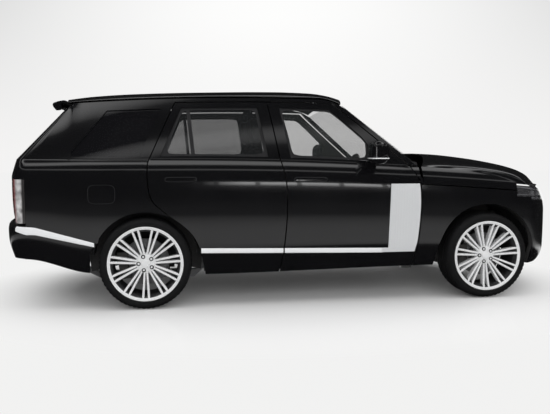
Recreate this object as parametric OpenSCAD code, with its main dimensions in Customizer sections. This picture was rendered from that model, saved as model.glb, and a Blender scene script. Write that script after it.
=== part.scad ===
// Full-size five-door SUV on its wheels, nose towards +X, millimetres, standing on z = 0.

/* [Body] */
// Length over the bumpers
overall_length = 5000; // [4960:10:5040]
// Distance between the axles
wheelbase = 2922; // [2900:2:2944]
// Nose to front axle
front_overhang = 890; // [875:5:905]
// Width over the doors, without mirrors
body_width = 1980; // [1950:10:2010]
// Height of the roof above the ground
roof_height = 1815; // [1795:5:1835]
// Height of the waistline at the rear doors
belt_height = 1209; // [1199:1:1219]
// Ground to the lower edge of the rear doors
sill_height = 268; // [258:2:278]
// Gap between a moving panel and its neighbours
shut_gap = 8; // [8:0.5:10]
// Thickness of the outer skin of doors
skin = 6; // [5:0.5:7]
// Depth of the doors behind the widest line
door_depth = 85; // [80:1:88]
// Thickness of fixed outer panels
panel = 40; // [34:1:46]

/* [Doors] */
// Leading edge of the front doors behind the front axle
door_lead = 609; // [600:1:620]
// Line between front and rear doors behind the front axle
door_split = 1768; // [1750:1:1790]
// Hinge pins behind a door's leading edge
hinge_set = 76; // [74:1:80]
// Hinge pins inside the widest line
hinge_depth = 21.5; // [21:0.5:22]
// Radius of the hinge pins
pin_r = 5; // [4.5:0.5:5.5]

/* [Wheels] */
// Radius of the tyres
tyre_r = 372; // [364:1:380]
// Width of the tyres
tyre_w = 280; // [265:1:290]
// Radius of the rim flanges
rim_r = 300; // [294:1:304]
// Distance between the wheels' middles across the vehicle
track = 1690; // [1680:2:1700]
// Radius of the front wheel arches
arch_front_r = 452; // [444:1:456]
// Radius of the rear wheel arches
arch_rear_r = 418; // [412:1:424]
// Pairs of spokes in a wheel
spoke_pairs = 11; // [7:1:13]
// Width of one spoke
spoke_w = 13; // [10:0.5:16]
// Radius of the brake discs
disc_r = 190; // [170:1:200]

/* [Cabin] */
// Width of a front seat
seat_w = 540; // [500:5:560]
// Width of the rear bench
bench_w = 1340; // [1280:10:1360]
// Diameter of the steering wheel
helm_d = 385; // [360:5:400]

/* [Hidden] */
$fn = 48;
e = 0.4;
half_w = body_width / 2;
x_front = overall_length / 2;
x_rear = -x_front;
x_fa = x_front - front_overhang;
x_ra = x_fa - wheelbase;
g = shut_gap / 2;
x_lead = x_fa - door_lead;
x_split = x_fa - door_split;
x_wide = x_fa - 1710;
belt_x = x_ra + 312;
rail_x = x_fa - 1910;
v_crease = 0.83;
wheel_y = track / 2;

// Plan of the body: crowned nose and tail with rounded corners
nose_r = 1250;
nose_corner = 220;
tail_r = 2900;
tail_corner = 150;
w_front = half_w - 20;
w_rear = half_w - 22;
a_nose = asin((w_front - nose_corner) / (nose_r - nose_corner));
a_tail = asin((w_rear - tail_corner) / (tail_r - tail_corner));
c_nose = [x_front - nose_r + (nose_r - nose_corner) * cos(a_nose), w_front - nose_corner];
c_tail = [x_rear + tail_r - (tail_r - tail_corner) * cos(a_tail), w_rear - tail_corner];
a_gate = 16;

// Upright sections: inset behind the widest line against height between sill and waist
side_sec = [[0, 60], [0.05, 40], [0.12, 22], [0.2, 12], [0.35, 8], [0.55, 3], [0.72, 0], [0.82, 3],
    [0.9, 18], [0.96, 42], [1, 66]];
nose_sec = [[0, 62], [0.03, 40], [0.095, 15], [0.185, 2], [0.387, 0], [0.61, 2], [0.722, 14], [0.78, 34],
    [0.854, 62], [0.947, 104], [1, 126]];
tail_sec = [[0, 34], [0.094, 13], [0.173, 2], [0.26, 0], [0.31, 6], [0.345, 56], [0.428, 46],
    [0.577, 39], [0.814, 38], [0.892, 53], [1, 78]];

function lerp(a, b, t) = a + (b - a) * t;
function last(p) = p[len(p) - 1];
function secant(p, k) = (p[k + 1][1] - p[k][1]) / (p[k + 1][0] - p[k][0]);
function slope(p, k) = k == 0 ? secant(p, 0) : k == len(p) - 1 ? secant(p, k - 1) :
    let (a = secant(p, k - 1), b = secant(p, k)) a * b <= 0 ? 0 : 2 * a * b / (a + b);
function span(p, x) = len([for (k = [1:len(p) - 2]) if (p[k][0] <= x) 1]);
function blend(h, t, y0, y1, m0, m1) = y0 * (2 * t ^ 3 - 3 * t ^ 2 + 1) + h * m0 * (t ^ 3 - 2 * t ^ 2 + t)
    + y1 * (3 * t ^ 2 - 2 * t ^ 3) + h * m1 * (t ^ 3 - t ^ 2);
function curve(p, x) = let (k = span(p, x), h = p[k + 1][0] - p[k][0],
    t = min(1, max(0, (x - p[k][0]) / h))) blend(h, t, p[k][1], p[k + 1][1], slope(p, k), slope(p, k + 1));

// A station is a point of the plan with the direction it faces
function nose(a) = a < a_nose ? [x_front - nose_r + nose_r * cos(a), nose_r * sin(a), a] :
    [c_nose[0] + nose_corner * cos(a), c_nose[1] + nose_corner * sin(a), a];
function tail(a) = a < a_tail ? [x_rear + tail_r - tail_r * cos(a), tail_r * sin(a), 180 - a] :
    [c_tail[0] - tail_corner * cos(a), c_tail[1] + tail_corner * sin(a), 180 - a];
function bow(x) = x > x_wide ? 20 * ((x - x_wide) / (c_nose[0] - x_wide)) ^ 2 :
    22 * ((x - x_wide) / (x_wide - c_tail[0])) ^ 2;
function at_x(x) = x > c_nose[0] ? nose(max(acos(min(1, (x - c_nose[0]) / nose_corner)), a_nose)) :
    x < c_tail[0] ? tail(acos(min(1, (c_tail[0] - x) / tail_corner))) : [x, half_w - bow(x), 90];
function sill(x) = curve([[x_rear, sill_height + 172], [x_ra - 890, sill_height + 152],
    [x_ra - 430, sill_height + 32], [x_ra + 460, sill_height], [x_fa - 460, sill_height + 28],
    [x_fa + 440, sill_height + 17], [x_front, sill_height - 18]], x);
function belt(x) = belt_height - 62 * max(0, (x - belt_x) / 1932) ^ 2;
function inset(a, v) = lerp(curve(side_sec, v), curve(a < 90 ? nose_sec : tail_sec, v), cos(a) ^ 2);
function low(s, v) = let (i = inset(s[2], v))
    [s[0] - i * cos(s[2]), s[1] - i * sin(s[2]), lerp(sill(s[0]), belt(s[0]), v)];
function side_z(x) = roof_height - 93 - 34 * ((x - rail_x) / 1207) ^ 2;
function rail_z(x) = side_z(x) - 45 * max(0, (x - rail_x - 450) / 200) ^ 2;
function rail_y(x) = half_w - 250 - 12 * ((x - rail_x) / 800) ^ 2;
function up(x, k) = let (b = low(at_x(x), 1))
    [x, lerp(b[1], rail_y(x), k) + 40 * k * (1 - k), lerp(b[2], side_z(x), k)];
function wall_pt(x, l) = l <= 1 ? low(at_x(x), l) : up(x, l - 1);
function flip(p) = [p[0], -p[1], p[2]];

// Shut lines of the side, as x against height
function a_line(z) = x_fa - 629 - (z - 1144) * 1.205;
function lead_line(z) = z > 1146 ? a_line(z) - 62 : x_lead + curve([[200, -60], [350, -52], [422, -45],
    [525, -21], [700, -5], [824, 0], [930, -4], [1011, -13], [1070, -41], [1146, -87]], z);
function split_line(z) = z > 1199 ? x_split - 49 - (z - 1199) * 0.185 :
    z > 880 ? x_split - 48 * ((z - 880) / 319) ^ 2 : x_split - 45 * ((880 - z) / 525) ^ 2;
function rear_line(z) = z > 1208 ? x_ra + 36 + (z - 1208) * 0.448 : x_ra + curve([[700, 290], [748, 200],
    [780, 160], [885, 54], [980, 28], [1060, 22], [1163, 23], [1208, 36]], z);
function steps(a, b, n) = [for (k = [0:n]) lerp(a, b, k / n)];

// Grids of points: rows go up, columns so that rows cross columns point outwards
function pick(p, i) = p[min(max(i, 0), len(p) - 1)];
function unit(v) = v / norm(v);
function outward(p, i, j) = unit(cross(pick(p, i + 1)[j] - pick(p, i - 1)[j],
    pick(p[i], j + 1) - pick(p[i], j - 1)));
function inner(p, t) = [for (i = [0:len(p) - 1]) [for (j = [0:len(p[i]) - 1])
    p[i][j] - (is_list(t) ? t[i] : t) * outward(p, i, j)]];
function set_in(p, s, t) = [for (r = p) [for (j = [0:len(r) - 1])
    r[j] - t * [cos(s[j][2]), (s[j][1] < 0 ? -1 : 1) * sin(s[j][2]), 0]]];
function moved(p, v) = [for (r = p) [for (q = r) q + v]];
function flat(p) = [for (r = p) for (q = r) q];
all_cells = function(i, j) true;

// Closed shell between an outer and an inner grid, with the cells that keep() names
module shell(p, q, keep = all_cells) {
    n = len(p) - 1;
    m = len(p[0]) - 1;
    w = m + 1;
    o = (n + 1) * w;
    on = function(i, j) i >= 0 && j >= 0 && i < n && j < m && keep(i, j);
    faces = [for (i = [0:n - 1]) for (j = [0:m - 1]) if (on(i, j)) each concat(
        [[i * w + j, i * w + j + 1, (i + 1) * w + j + 1, (i + 1) * w + j]],
        [[o + i * w + j, o + (i + 1) * w + j, o + (i + 1) * w + j + 1, o + i * w + j + 1]],
        on(i - 1, j) ? [] : [[i * w + j, o + i * w + j, o + i * w + j + 1, i * w + j + 1]],
        on(i + 1, j) ? [] : [[(i + 1) * w + j, (i + 1) * w + j + 1, o + (i + 1) * w + j + 1,
            o + (i + 1) * w + j]],
        on(i, j - 1) ? [] : [[i * w + j, (i + 1) * w + j, o + (i + 1) * w + j, o + i * w + j]],
        on(i, j + 1) ? [] : [[i * w + j + 1, o + i * w + j + 1, o + (i + 1) * w + j + 1,
            (i + 1) * w + j + 1]])];
    polyhedron(concat(flat(p), flat(q)), faces);
}

// Prism across the vehicle over an outline in x and z
module prism(p, y0, y1) {
    translate([0, y1, 0]) rotate([90, 0, 0]) linear_extrude(y1 - y0) polygon(p);
}

// Prism along the vehicle over an outline in y and z
module beam(p, x0, x1) {
    translate([x0, 0, 0]) rotate([90, 0, 90]) linear_extrude(x1 - x0) polygon(p);
}

module box(a, b) {
    translate(a) cube(b - a);
}

module rod(p, r, h, axis = "z") {
    translate(p) rotate(axis == "x" ? [0, 90, 0] : axis == "y" ? [-90, 0, 0] : [0, 0,
        0]) cylinder(h = h, r = r);
}

module both() {
    children();
    mirror([0, 1, 0]) children();
}

// Rounds the corners of an outline
function pick_loop(p, k) = p[(k + len(p)) % len(p)];
function rounded(p, r, n = 4) = [for (k = [0:len(p) - 1]) let (b = p[k], a = pick_loop(p, k - 1),
    c = pick_loop(p, k + 1), u = unit(a - b), w = unit(c - b), s = min(r, norm(a - b) / 2.1,
        norm(c - b) / 2.1))
    for (t = steps(0, 1, n)) b + u * s * (1 - t) ^ 2 + w * s * t ^ 2];

// Height of a place on the side: level 0 at the sill, 1 at the waist, 2 at the roof rail
function height(x, l) = l <= 1 ? lerp(sill(x), belt(x), l) : lerp(belt(x), side_z(x), l - 1);
function level(x, z) = z <= belt(x) ? (z - sill(x)) / (belt(x) - sill(x)) :
    1 + (z - belt(x)) / (side_z(x) - belt(x));
function on_line(f, x, l) = f(height(f(height(f(height(x, l)), l)), l));
lead_f = function(z) lead_line(z);
split_f = function(z) split_line(z);
rear_f = function(z) z > 748 ? rear_line(z) : x_ra + curve([[150, 490], [268, 476], [372, 456], [484, 432],
    [600, 374], [690, 282], [748, 200]], z);
function back_off(p, l, x) = [p[0], l < 0.93 ? at_x(x)[1] - door_depth : p[1] - 38, p[2]];

// Closed panel of four grids: face, edge of the skin, inner side of the skin, back
module panel_shell(a, b, c, d, keep) {
    n = len(a) - 1;
    m = len(a[0]) - 1;
    w = m + 1;
    o = (n + 1) * w;
    on = function(i, j) i >= 0 && j >= 0 && i < n && j < m && keep(i, j);
    function strip(k, l) = [for (t = [0:2]) [t * o + k, (t + 1) * o + k, (t + 1) * o + l, t * o + l]];
    faces = [for (i = [0:n - 1]) for (j = [0:m - 1]) if (on(i, j)) each concat(
        [[i * w + j, i * w + j + 1, (i + 1) * w + j + 1, (i + 1) * w + j]],
        [[3 * o + i * w + j, 3 * o + (i + 1) * w + j, 3 * o + (i + 1) * w + j + 1, 3 * o + i * w + j + 1]],
        on(i - 1, j) ? [] : strip(i * w + j, i * w + j + 1),
        on(i + 1, j) ? [] : strip((i + 1) * w + j + 1, (i + 1) * w + j),
        on(i, j - 1) ? [] : strip((i + 1) * w + j, i * w + j),
        on(i, j + 1) ? [] : strip(i * w + j + 1, (i + 1) * w + j + 1))];
    polyhedron(concat(flat(a), flat(b), flat(c), flat(d)), faces);
}

// Doors: columns from the rear edge forward, rows from the sill to the top of the window frame
win_lo = 1.05;
win_hi = 1.84;
door_rows = [0, 0.05, 0.12, 0.2, 0.28, 0.35, 0.42, 0.47, 0.51, 0.55, 0.59, 0.64, 0.72, 0.8, 0.84, 0.9,
    0.95, 1,
    win_lo, 1.3, 1.57, win_hi, 3];
function top_level(x, d) = 2 - (32 + g + d) / (side_z(x) - belt(x));
function row_level(x, l, d) = l == 3 ? top_level(x, d) : l == 0 ? d / 1000 : l;
function front_x(l, d, s) = let (k = l == 3 ? 1.93 : l, a = on_line(lead_f, x_lead, k),
    b = on_line(split_f, x_split, k), z = height(a, k), z1 = height(x_fa - 1056, k),
    back = k > 1 ? (g + d) / 0.639 : g + lerp(s, d / 0.639, max(0, (k - 0.94) / 0.06)),
    w1 = min(x_fa - 1056, a_line(z1 + (k > 1 ? 20 : -900)) - 150), w0 = b + 94)
    [b + g + d, w0, lerp(w0, w1, 0.33), lerp(w0, w1, 0.67), min(w1, a - back - 34), a - back];
function rear_x(l, d, s) = let (k = l == 3 ? 1.93 : l, a = on_line(split_f, x_split, k),
    b = on_line(rear_f, x_ra, k) + 1, w1 = a - 94,
    w0 = b - 1 + (k > 1 ? 76 : lerp(40, 76, max(0, (k - 0.9) / 0.1))))
    [b + g + d, w0, lerp(w0, w1, 0.33), lerp(w0, w1, 0.67), w1, a - g - (k > 0.96 ? d : s)];
function door_grid(f, d, s, depth) = [for (l = door_rows) [for (x = f(l, d, s)) let (k = row_level(x, l, d),
    p = wall_pt(x, k)) depth < 0 ? back_off(p, k, x) : p - [0, depth, 0]]];
door_keep = function(i, j) !(i >= 18 && i < 21 && j >= 1 && j < 4);
front_f = function(l, d, s) front_x(l, d, s);
rear_x_f = function(l, d, s) rear_x(l, d, s);

module hinge_knuckle(x, y, z) {
    difference() {
        union() {
            rod([x, y, z], pin_r + 5, 40);
            box([x - 46, y - 5, z], [x, y + 5, z + 40]);
        }
        rod([x, y, z - 1], pin_r + 0.1, 42);
    }
}

function hinge_y(x) = half_w - bow(x) - hinge_depth;
x_hinge_f = x_lead - g - hinge_set;
x_hinge_r = x_split - g - hinge_set;
hinge_zs = [700, 980];
core_set = hinge_set + 16;

module front_door() {
    panel_shell(door_grid(front_f, 0, 0, 0), door_grid(front_f, 0, 0, skin),
        door_grid(front_f, 20, core_set, skin), door_grid(front_f, 20, core_set, -1), door_keep);
    for (z = hinge_zs) hinge_knuckle(x_hinge_f, hinge_y(x_hinge_f), z);
}

module rear_door() {
    panel_shell(door_grid(rear_x_f, 0, 0, 0), door_grid(rear_x_f, 0, 0, skin),
        door_grid(rear_x_f, 20, core_set, skin), door_grid(rear_x_f, 20, core_set, -1), door_keep);
    for (z = hinge_zs) hinge_knuckle(x_hinge_r, hinge_y(x_hinge_r), z);
}

// Glass of a door, set behind the frame's face
module door_glass(f) {
    rows = [win_lo + 0.001, 1.3, 1.57, win_hi - 0.001];
    p = [for (l = rows) let (xs = f(l, 0, 0)) [for (t = [xs[1] + e, xs[2], xs[3],
        xs[4] - e]) wall_pt(t, l) - [0, 12, 0]]];
    shell(p, moved(p, [0, -5, 0]));
}

// Bright blade at the leading edge of a front door, with its foot along the sill
module blade() {
    zs = [424, 462, 525, 620, 720, 824, 920, 1004];
    p = [for (z = zs) [for (t = [-330, -274, -190, -100, 0]) let (x = t == 0 ? lead_line(z) - g - 6 :
        x_lead + t + (t < -200 ? (z - 1006) * 0.03 : 0)) wall_pt(x, level(x, z)) + [0, 7, 0]]];
    shell(p, moved(p, [0, 0.9 - 7, 0]), function(i, j) j > 0 || i < 1);
}

// Ring of the body side: sill, hinge post, middle pillar, pillar beside the windscreen and roof rail
jack_xs = [x_fa - 700, x_ra + 560];
y_post = half_w - door_depth - 23;
x_post = x_lead - 4;
y_mid = half_w - door_depth - 8;
function band_pt(x, z) = up(x, (z - belt(x)) / (side_z(x) - belt(x)));
// Cut of the middle pillar above the waist, leaning back with the line between the doors
function post_cut(k) = let (q = up(x_split, k), z = k == 0 ? 1140 : q[2],
    x = k == 0 ? x_split + 26 : split_line(z) - 47, y = k == 0 ? y_mid : q[1] - 52)
    [[x, y, z], [x + 94, y, z], [x + 94, y - 60, z], [x, y - 60, z]];
module side_frame() {
    x_end = on_line(rear_f, x_ra, 1.95);
    ends = [for (t = [0, 0.5, 1]) let (k = lerp(top_level(x_end, -2 * g), 2,
        t)) wall_pt(on_line(rear_f, x_ra, k) - g + 2 * e, k)];
    rail = concat([ends], [for (x = steps(x_end + 60, x_fa - 1330, 11)) [for (t = [0, 0.5, 1])
        wall_pt(x, lerp(top_level(x, -2 * g), level(x, rail_z(x)), t))]]);
    post = [for (z = [1640, 1560, 1460, 1350, 1250, 1165]) [for (t = [0, 0.5, 1])
        band_pt(lerp(a_line(z) - 62 + g / 0.639, a_line(z), t), z)]];
    cols = concat(rail, post);
    p = [for (t = [0:2]) [for (c = cols) c[t]]];
    union() {
        shell(p, moved(p, [0, -62, 0]));
        box([x_ra + 470, half_w - 210, sill_height + 22], [x_lead - 64, y_mid, sill_height + 150]);
        box([x_lead - 90, half_w - 205, sill_height + 30], [x_post, y_post, 1132]);
        box([x_lead - 70, half_w - 205, 1100], [x_post, low(at_x(x_lead - 40), 1)[1] - 30, 1162]);
        box([x_post - 4, y_post - 40, 700], [x_lead + 50, y_post, 760]);
        box([x_lead + 10, y_post - 10, 700], [x_lead + 50, half_w - bow(x_lead) - panel + 6.6, 760]);
        beam([[half_w - 170, sill_height + 100], [y_mid, sill_height + 100], [y_mid, 1150],
            [half_w - 190, 1150]], x_split + 26, x_split + 120);
        loft([for (k = [0, 0.2, 0.6, 0.93, 0.98]) post_cut(k)]);
        for (z = hinge_zs) {
            hinge_arm(x_hinge_f, x_hinge_f + 6, z, y_post);
            hinge_arm(x_hinge_r, x_split + 60, z, y_post);
        }
        bonnet_lug();
        for (x = jack_xs) box([x - 45, half_w - 190, sill_height], [x + 45, half_w - 120,
            sill_height + 30]);
    }
}

// Arm of a door hinge, straight in from its pin, then along to the pillar
module hinge_arm(x, x_to, z, y_to) {
    y = hinge_y(x);
    rod([x, y, z - 13], pin_r, 53);
    rod([x, y, z - 13], pin_r + 3, 12);
    box([x - 8, y_to - 24, z - 13], [x + 8, y, z - 1]);
    box([x - 9, y_to - 24, z - 13], [x_to + 9, y_to - 2, z - 1]);
}

hood_axis = [x_lead + 36, 1112];
hood_pin_y = half_w - 125;
module bonnet_lug() {
    box([x_lead - 20, hood_pin_y - 60, 1080], [x_post, hood_pin_y - 14, 1140]);
    rod([hood_axis[0], hood_pin_y - 26, hood_axis[1]], 12, 12, "y");
    box([x_lead - 10, hood_pin_y - 26, hood_axis[1] - 10], [hood_axis[0], hood_pin_y - 14,
        hood_axis[1] + 10]);
    rod([hood_axis[0], hood_pin_y - 26, hood_axis[1]], pin_r, 40, "y");
}

// Rear side panel with the rear pillar, from the rear door back round the corner to the tailgate
function bumper_top(x) = 548 + (x_ra - 390 - x) * 0.29;
lamp_top = 1056;
x_fan = x_rear + 620;
quarter_rows = [0, 0.07, 0.15, 0.24, 0.38, 0.55, 0.7, 0.82, 0.9, 0.96, 1, win_lo, 1.35, 1.65, win_hi, 2];
function arch_z(x, c, r) = tyre_r + sqrt(max(0, r ^ 2 - (x - c) ^ 2));
function quarter_foot(x) = x > x_ra - 372 ? arch_z(x, x_ra, arch_rear_r) : bumper_top(x);
function fan_pt(s, l, t) = let (b = low(s, min(l, 1)), k = max(0, l - 1), top = [lerp(x_fan,
    x_rear + 574, t),
    lerp(rail_y(x_fan), half_w - 346, t), lerp(rail_z(x_fan), rail_z(x_fan) - 24, t)])
    lerp(b, top, k) + [0, 40 * k * (1 - k), 0];
function quarter_level(x, z0, l) = l >= 1 ? l : lerp(level(x, z0), 1, l);
quarter_fan = concat([for (a = [a_gate + 0.08, 20, 26, 34, 46, 60, 75]) tail(a)],
    [for (x = [c_tail[0] - e, c_tail[0] + 4, lerp(c_tail[0], x_fan, 0.35), lerp(c_tail[0], x_fan, 0.7),
        x_fan]) at_x(x)]);
quarter_xs = [x_ra - 440, x_ra - 372, x_ra - 320, x_ra - 230, x_ra - 110];
function quarter_win(l) = l > 1 ? [lerp(x_ra - 600, x_ra - 300, (l - win_lo) / (win_hi - win_lo)),
    on_line(rear_f, x_ra, l) - 90] : [x_ra - 600, x_ra - 60];
function quarter_grid() = [for (l = quarter_rows) concat(
    [for (k = [0:len(quarter_fan) - 1]) let (s = quarter_fan[k])
        fan_pt(s, quarter_level(s[0], k < 8 ? lamp_top : bumper_top(s[0]), l),
            1 - k / (len(quarter_fan) - 1))],
    [for (k = [0:4]) let (w = quarter_win(l), x = l > 1 ? lerp(w[0], w[1], k / 4) :
        lerp(quarter_xs[k], lerp(w[0], w[1], k / 4), max(0, (l - 0.9) / 0.1)))
        wall_pt(x, quarter_level(x, quarter_foot(x), l))],
    let (x = l > 1 ? on_line(rear_f, x_ra, l) : rear_f(lerp(750, belt_height, l)))
        [wall_pt(x - g, quarter_level(x, 750, l))])];

module rear_quarter() {
    p = quarter_grid();
    n = len(quarter_fan);
    side = [for (k = [0:5]) [0, 1, 90]];
    shell(p, set_in(p, concat(quarter_fan, side), panel), function(i,
        j) !(i >= 11 && i < 14 && j >= n && j < n + 4));
}

module quarter_glass() {
    rows = [win_lo + 0.001, 1.35, 1.65, win_hi - 0.001];
    p = [for (l = rows) let (w = quarter_win(l)) [for (k = [0:4]) let (t = lerp(w[0] + e, w[1] - e, k / 4))
        wall_pt(t, l) - [0, 10, 0]]];
    shell(p, moved(p, [0, -5, 0]));
}

// Roof with the hinge lugs of the tailgate at its rear edge
roof_ts = [0, 0.12, 0.25, 0.4, 0.55, 0.7, 0.82, 0.9, 0.95, 1];
roof_qs = [-1, -0.97, -0.9, -0.75, -0.5, -0.25, 0, 0.25, 0.5, 0.75, 0.9, 0.97, 1];
gate_hinge_ys = [-230, 230];
x_roof_r = x_rear + 575;
x_roof_f = x_fa - 1262;
gate_axis = [x_roof_r - 40 - 12, roof_z(x_roof_r - 40) - 7];
function roof_z(x) = roof_height - curve([[x_rear + 440, 112], [x_rear + 740, 62], [x_rear + 1100, 34],
    [x_rear + 1700, 12], [x_fa - 1760, 0], [x_fa - 1500, 7], [x_fa - 1330, 28], [x_fa - 1170, 64]], x);
function roof_pt(t, q) = let (x = lerp(x_roof_r - 40 * (1 - q ^ 2), x_roof_f + 80 * (1 - q ^ 2), t),
    z0 = rail_z(x) + 13) [x, q * (rail_y(x) - 1), z0 + (roof_z(x) - z0) * max(0, 1 - abs(q) ^ 3.2) ^ 0.85];
function roof_in(r) = [r[0], r[1] * 0.955, max(r[2] - 26, rail_z(r[0]) + (r[0] > x_fa - 1520 ? 5 : 1.2))];

module roof_panel() {
    p = [for (t = roof_ts) [for (q = roof_qs) roof_pt(t, q)]];
    union() {
        shell(p, [for (r = p) [for (q = r) roof_in(q)]]);
        for (y = gate_hinge_ys) {
            box([gate_axis[0], y - 9, gate_axis[1] - 8], [gate_axis[0] + 60, y + 9, gate_axis[1] - 1]);
            rod([gate_axis[0], y - 9, gate_axis[1]], 8, 18, "y");
            rod([gate_axis[0], y - 30, gate_axis[1]], 4, 60, "y");
        }
    }
}

module windscreen() {
    zs = steps(1172, rail_z(x_roof_f) - 16, 5);
    p = [for (z = zs) let (t = (z - zs[0]) / (last(zs) - zs[0]), x = a_line(z) + 10.6,
        y = band_pt(a_line(z), z)[1] - 16) [for (q = steps(1, -1, 12))
        [x + lerp(190, 64, t) * (1 - q ^ 2), q * y, z + lerp(30, 58, t) * (1 - q ^ 2)]]];
    shell(p, inner(p, 6));
}

// Front wing between door, wheel arch, bonnet and lamp
lid_gap = g + 2;
function crease(x) = lerp(sill(x), belt(x), v_crease);
lamp_x0 = x_fa + 268;
lamp_z0 = 884;
arch_xs = [-486, -474, -452, -420, -375, -310, -239, -150, -50, 50, 150, 219, 264, 266, 300, 318, 322, 350,
    380, 405];
function lamp_line(d) = lerp(712, lamp_z0 - 2, (d - 318) / 96);
function wing_foot(d) = d < -480 ? 0 : d > 320 ? lamp_line(d) + 2 : tyre_r + curve([[-481, -110],
    [-474, -40],
    [-452, 78], [-420, 160], [-375, 248], [-310, 328], [-239, 386], [-150, 427], [-50, 449], [50, 449],
        [150, 427],
    [219, 396], [330, 309]], d);
function wing_head(x) = x < lamp_x0 - 3 ? crease(x) - lid_gap : lamp_z0 - e;
module front_wing() {
    xs = concat([x_lead, x_lead + 60], [for (d = arch_xs) x_fa + d]);
    p = [for (t = [0, 0.1, 0.22, 0.36, 0.5, 0.65, 0.82, 1]) [for (x = xs) let (
        v = lerp(max(0, level(x, wing_foot(x - x_fa))), level(x, wing_head(x)), t), z = height(x, v),
        q = x == x_lead ? lead_line(z) + g + 1.5 : x) low(at_x(q), v)]];
    shell(p, set_in(p, [for (x = xs) at_x(x)], panel - 12));
}

// Bonnet with sides down to the crease
x_hood_r = x_lead + 14;
x_hood_f = lamp_x0 - g;
v_lamp = 0.893;
function hood_x(s) = lerp(x_hood_r, x_hood_f, s);
function hood_v(s) = lerp(1, v_lamp + 0.012, s ^ 5);
function hood_side(s, c) = let (x = hood_x(s)) low(at_x(x), lerp(level(x, crease(x) + g), hood_v(s), c));
function hood_edge(q) = let (a = 86 * abs(q) ^ 0.9) low(nose(a), lerp(0.935, v_lamp + 0.012, (a / 90) ^ 2));
function hood_top(s, q) = let (b = hood_side(s, 1), ed = q == 1 ? hood_side(1, 1) : hood_edge(q),
    cowl = [x_hood_r + 235 * (1 - q ^ 2), q * hood_side(0, 1)[1]], u = lerp(cowl, [ed[0], ed[1]], s),
    xc = lerp(x_hood_r + 235, low(nose(0), 0.935)[0], s),
    zc = curve([[x_fa - 380, belt_height + 49], [x_fa - 210, belt_height + 41], [x_fa + 90,
        belt_height + 8],
        [x_fa + 390, belt_height - 44], [x_fa + 590, belt_height - 97], [x_fa + 690, belt_height - 146],
        [x_fa + 750, belt_height - 208], [x_fa + 790, low(nose(0), 0.935)[2]]], xc))
    q == 1 ? b : [u[0], u[1], s == 1 ? ed[2] : lerp(b[2], zc, 1 - abs(q) ^ 2.6)];

module bonnet() {
    ss = [0, 0.12, 0.3, 0.5, 0.68, 0.8, 0.88, 0.94, 0.975, 1];
    half = [for (s = ss) concat([for (c = [0, 0.4, 0.75]) hood_side(s, c)], [for (q = [1, 0.93, 0.8,
        0.6, 0.35, 0]) hood_top(s, q)])];
    p = [for (r = half) concat([for (q = r) flip(q)], [for (k = [1:len(r) - 1]) r[len(r) - 1 - k]])];
    union() {
        shell(p, inner(p, 12));
        both() difference() {
            union() {
                rod([hood_axis[0], hood_pin_y - 12, hood_axis[1]], 13, 24, "y");
                box([hood_axis[0] - 6, hood_pin_y - 12, hood_axis[1]], [hood_axis[0] + 60,
                    hood_pin_y + 52, hood_axis[1] + 24]);
            }
            rod([hood_axis[0], hood_pin_y - 20, hood_axis[1]], pin_r + 0.1, 40, "y");
        }
    }
}

// Panel below the windscreen's foot, on the bulkhead
module scuttle() {
    p = [for (t = [0, 0.5, 1]) [for (q = steps(-1, 1, 10)) [lerp(a_line(1172) + 4, x_hood_r - 8, t)
        + lerp(190, 222, t) * (1 - q ^ 2), q * (half_w - 215), lerp(1166, 1140, t) + lerp(30, 45,
            t) * (1 - q ^ 2)]]];
    shell(p, [for (r = p) [for (q = r) [q[0], q[1], 1080 + e]]]);
}

// Front bumper from wheel arch to wheel arch, open for grille and lower intake
bumper_ts = [0, 0.04, 0.13, 0.18, 0.25, 0.4, 0.53, 0.68, 0.82, 0.92, 1];
v_bumper = 0.735;
bumper_sts = concat([for (d = [322, 350, 380, 405, 425, 440, 452]) at_x(x_fa + d)], [for (a = [52, 44,
    36, 28.5, 27, 18, 9]) nose(a)]);
function bumper_foot(s) = s[0] < x_fa + 446 && s[1] > 800 ? level(s[0], arch_z(s[0], x_fa,
    arch_front_r)) : 0;
function bumper_head(s) = s[0] < x_fa + 414 && s[1] > 800 ? min(level(s[0], lamp_line(s[0] - x_fa)),
    v_bumper) :
    v_bumper;
module front_bumper() {
    n = len(bumper_sts);
    sts = concat(bumper_sts, [nose(0)], [for (k = [1:n]) flip(bumper_sts[n - k])]);
    p = [for (t = bumper_ts) [for (s = sts) s[1] < 0 ? flip(skirt(flip(s), t)) : skirt(s, t)]];
    mid = len(bumper_sts);
    keep = function(i, j) let (d = min(abs(j - mid),
        abs(j + 1 - mid))) !(i >= 8 && d < 3) && !(i >= 3 && i < 5 && d < 2);
    shell(p, set_in(p, sts, panel), keep);
}
function skirt(s, t) = low(s, lerp(bumper_foot(s), bumper_head(s), t));

// Grille bars between the lamps and in the lower intake
function bar_pt(a, v) = a < 0 ? flip(low(nose(-a), v)) : low(nose(a), v);
module bar(as, vs, d0, d1) {
    sts = [for (a = as) a < 0 ? flip(nose(-a)) : nose(a)];
    p = [for (v = vs) [for (a = as) bar_pt(a, v)]];
    shell(set_in(p, sts, d0), set_in(p, sts, d1));
}
module grille() {
    as = [26.98, 18, 9, 0, -9, -18, -26.98];
    for (v = steps(0.625, 0.885, 5)) bar(as, [v - 0.02, v, v + 0.02], 0, 14);
    bar(as, [0.6035, 0.7, 0.8, 0.905], 14 + e, 34);
    bar([17.98, 9, 0, -9, -17.98], [0.134, 0.21, 0.293], 10, 30);
}

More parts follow.
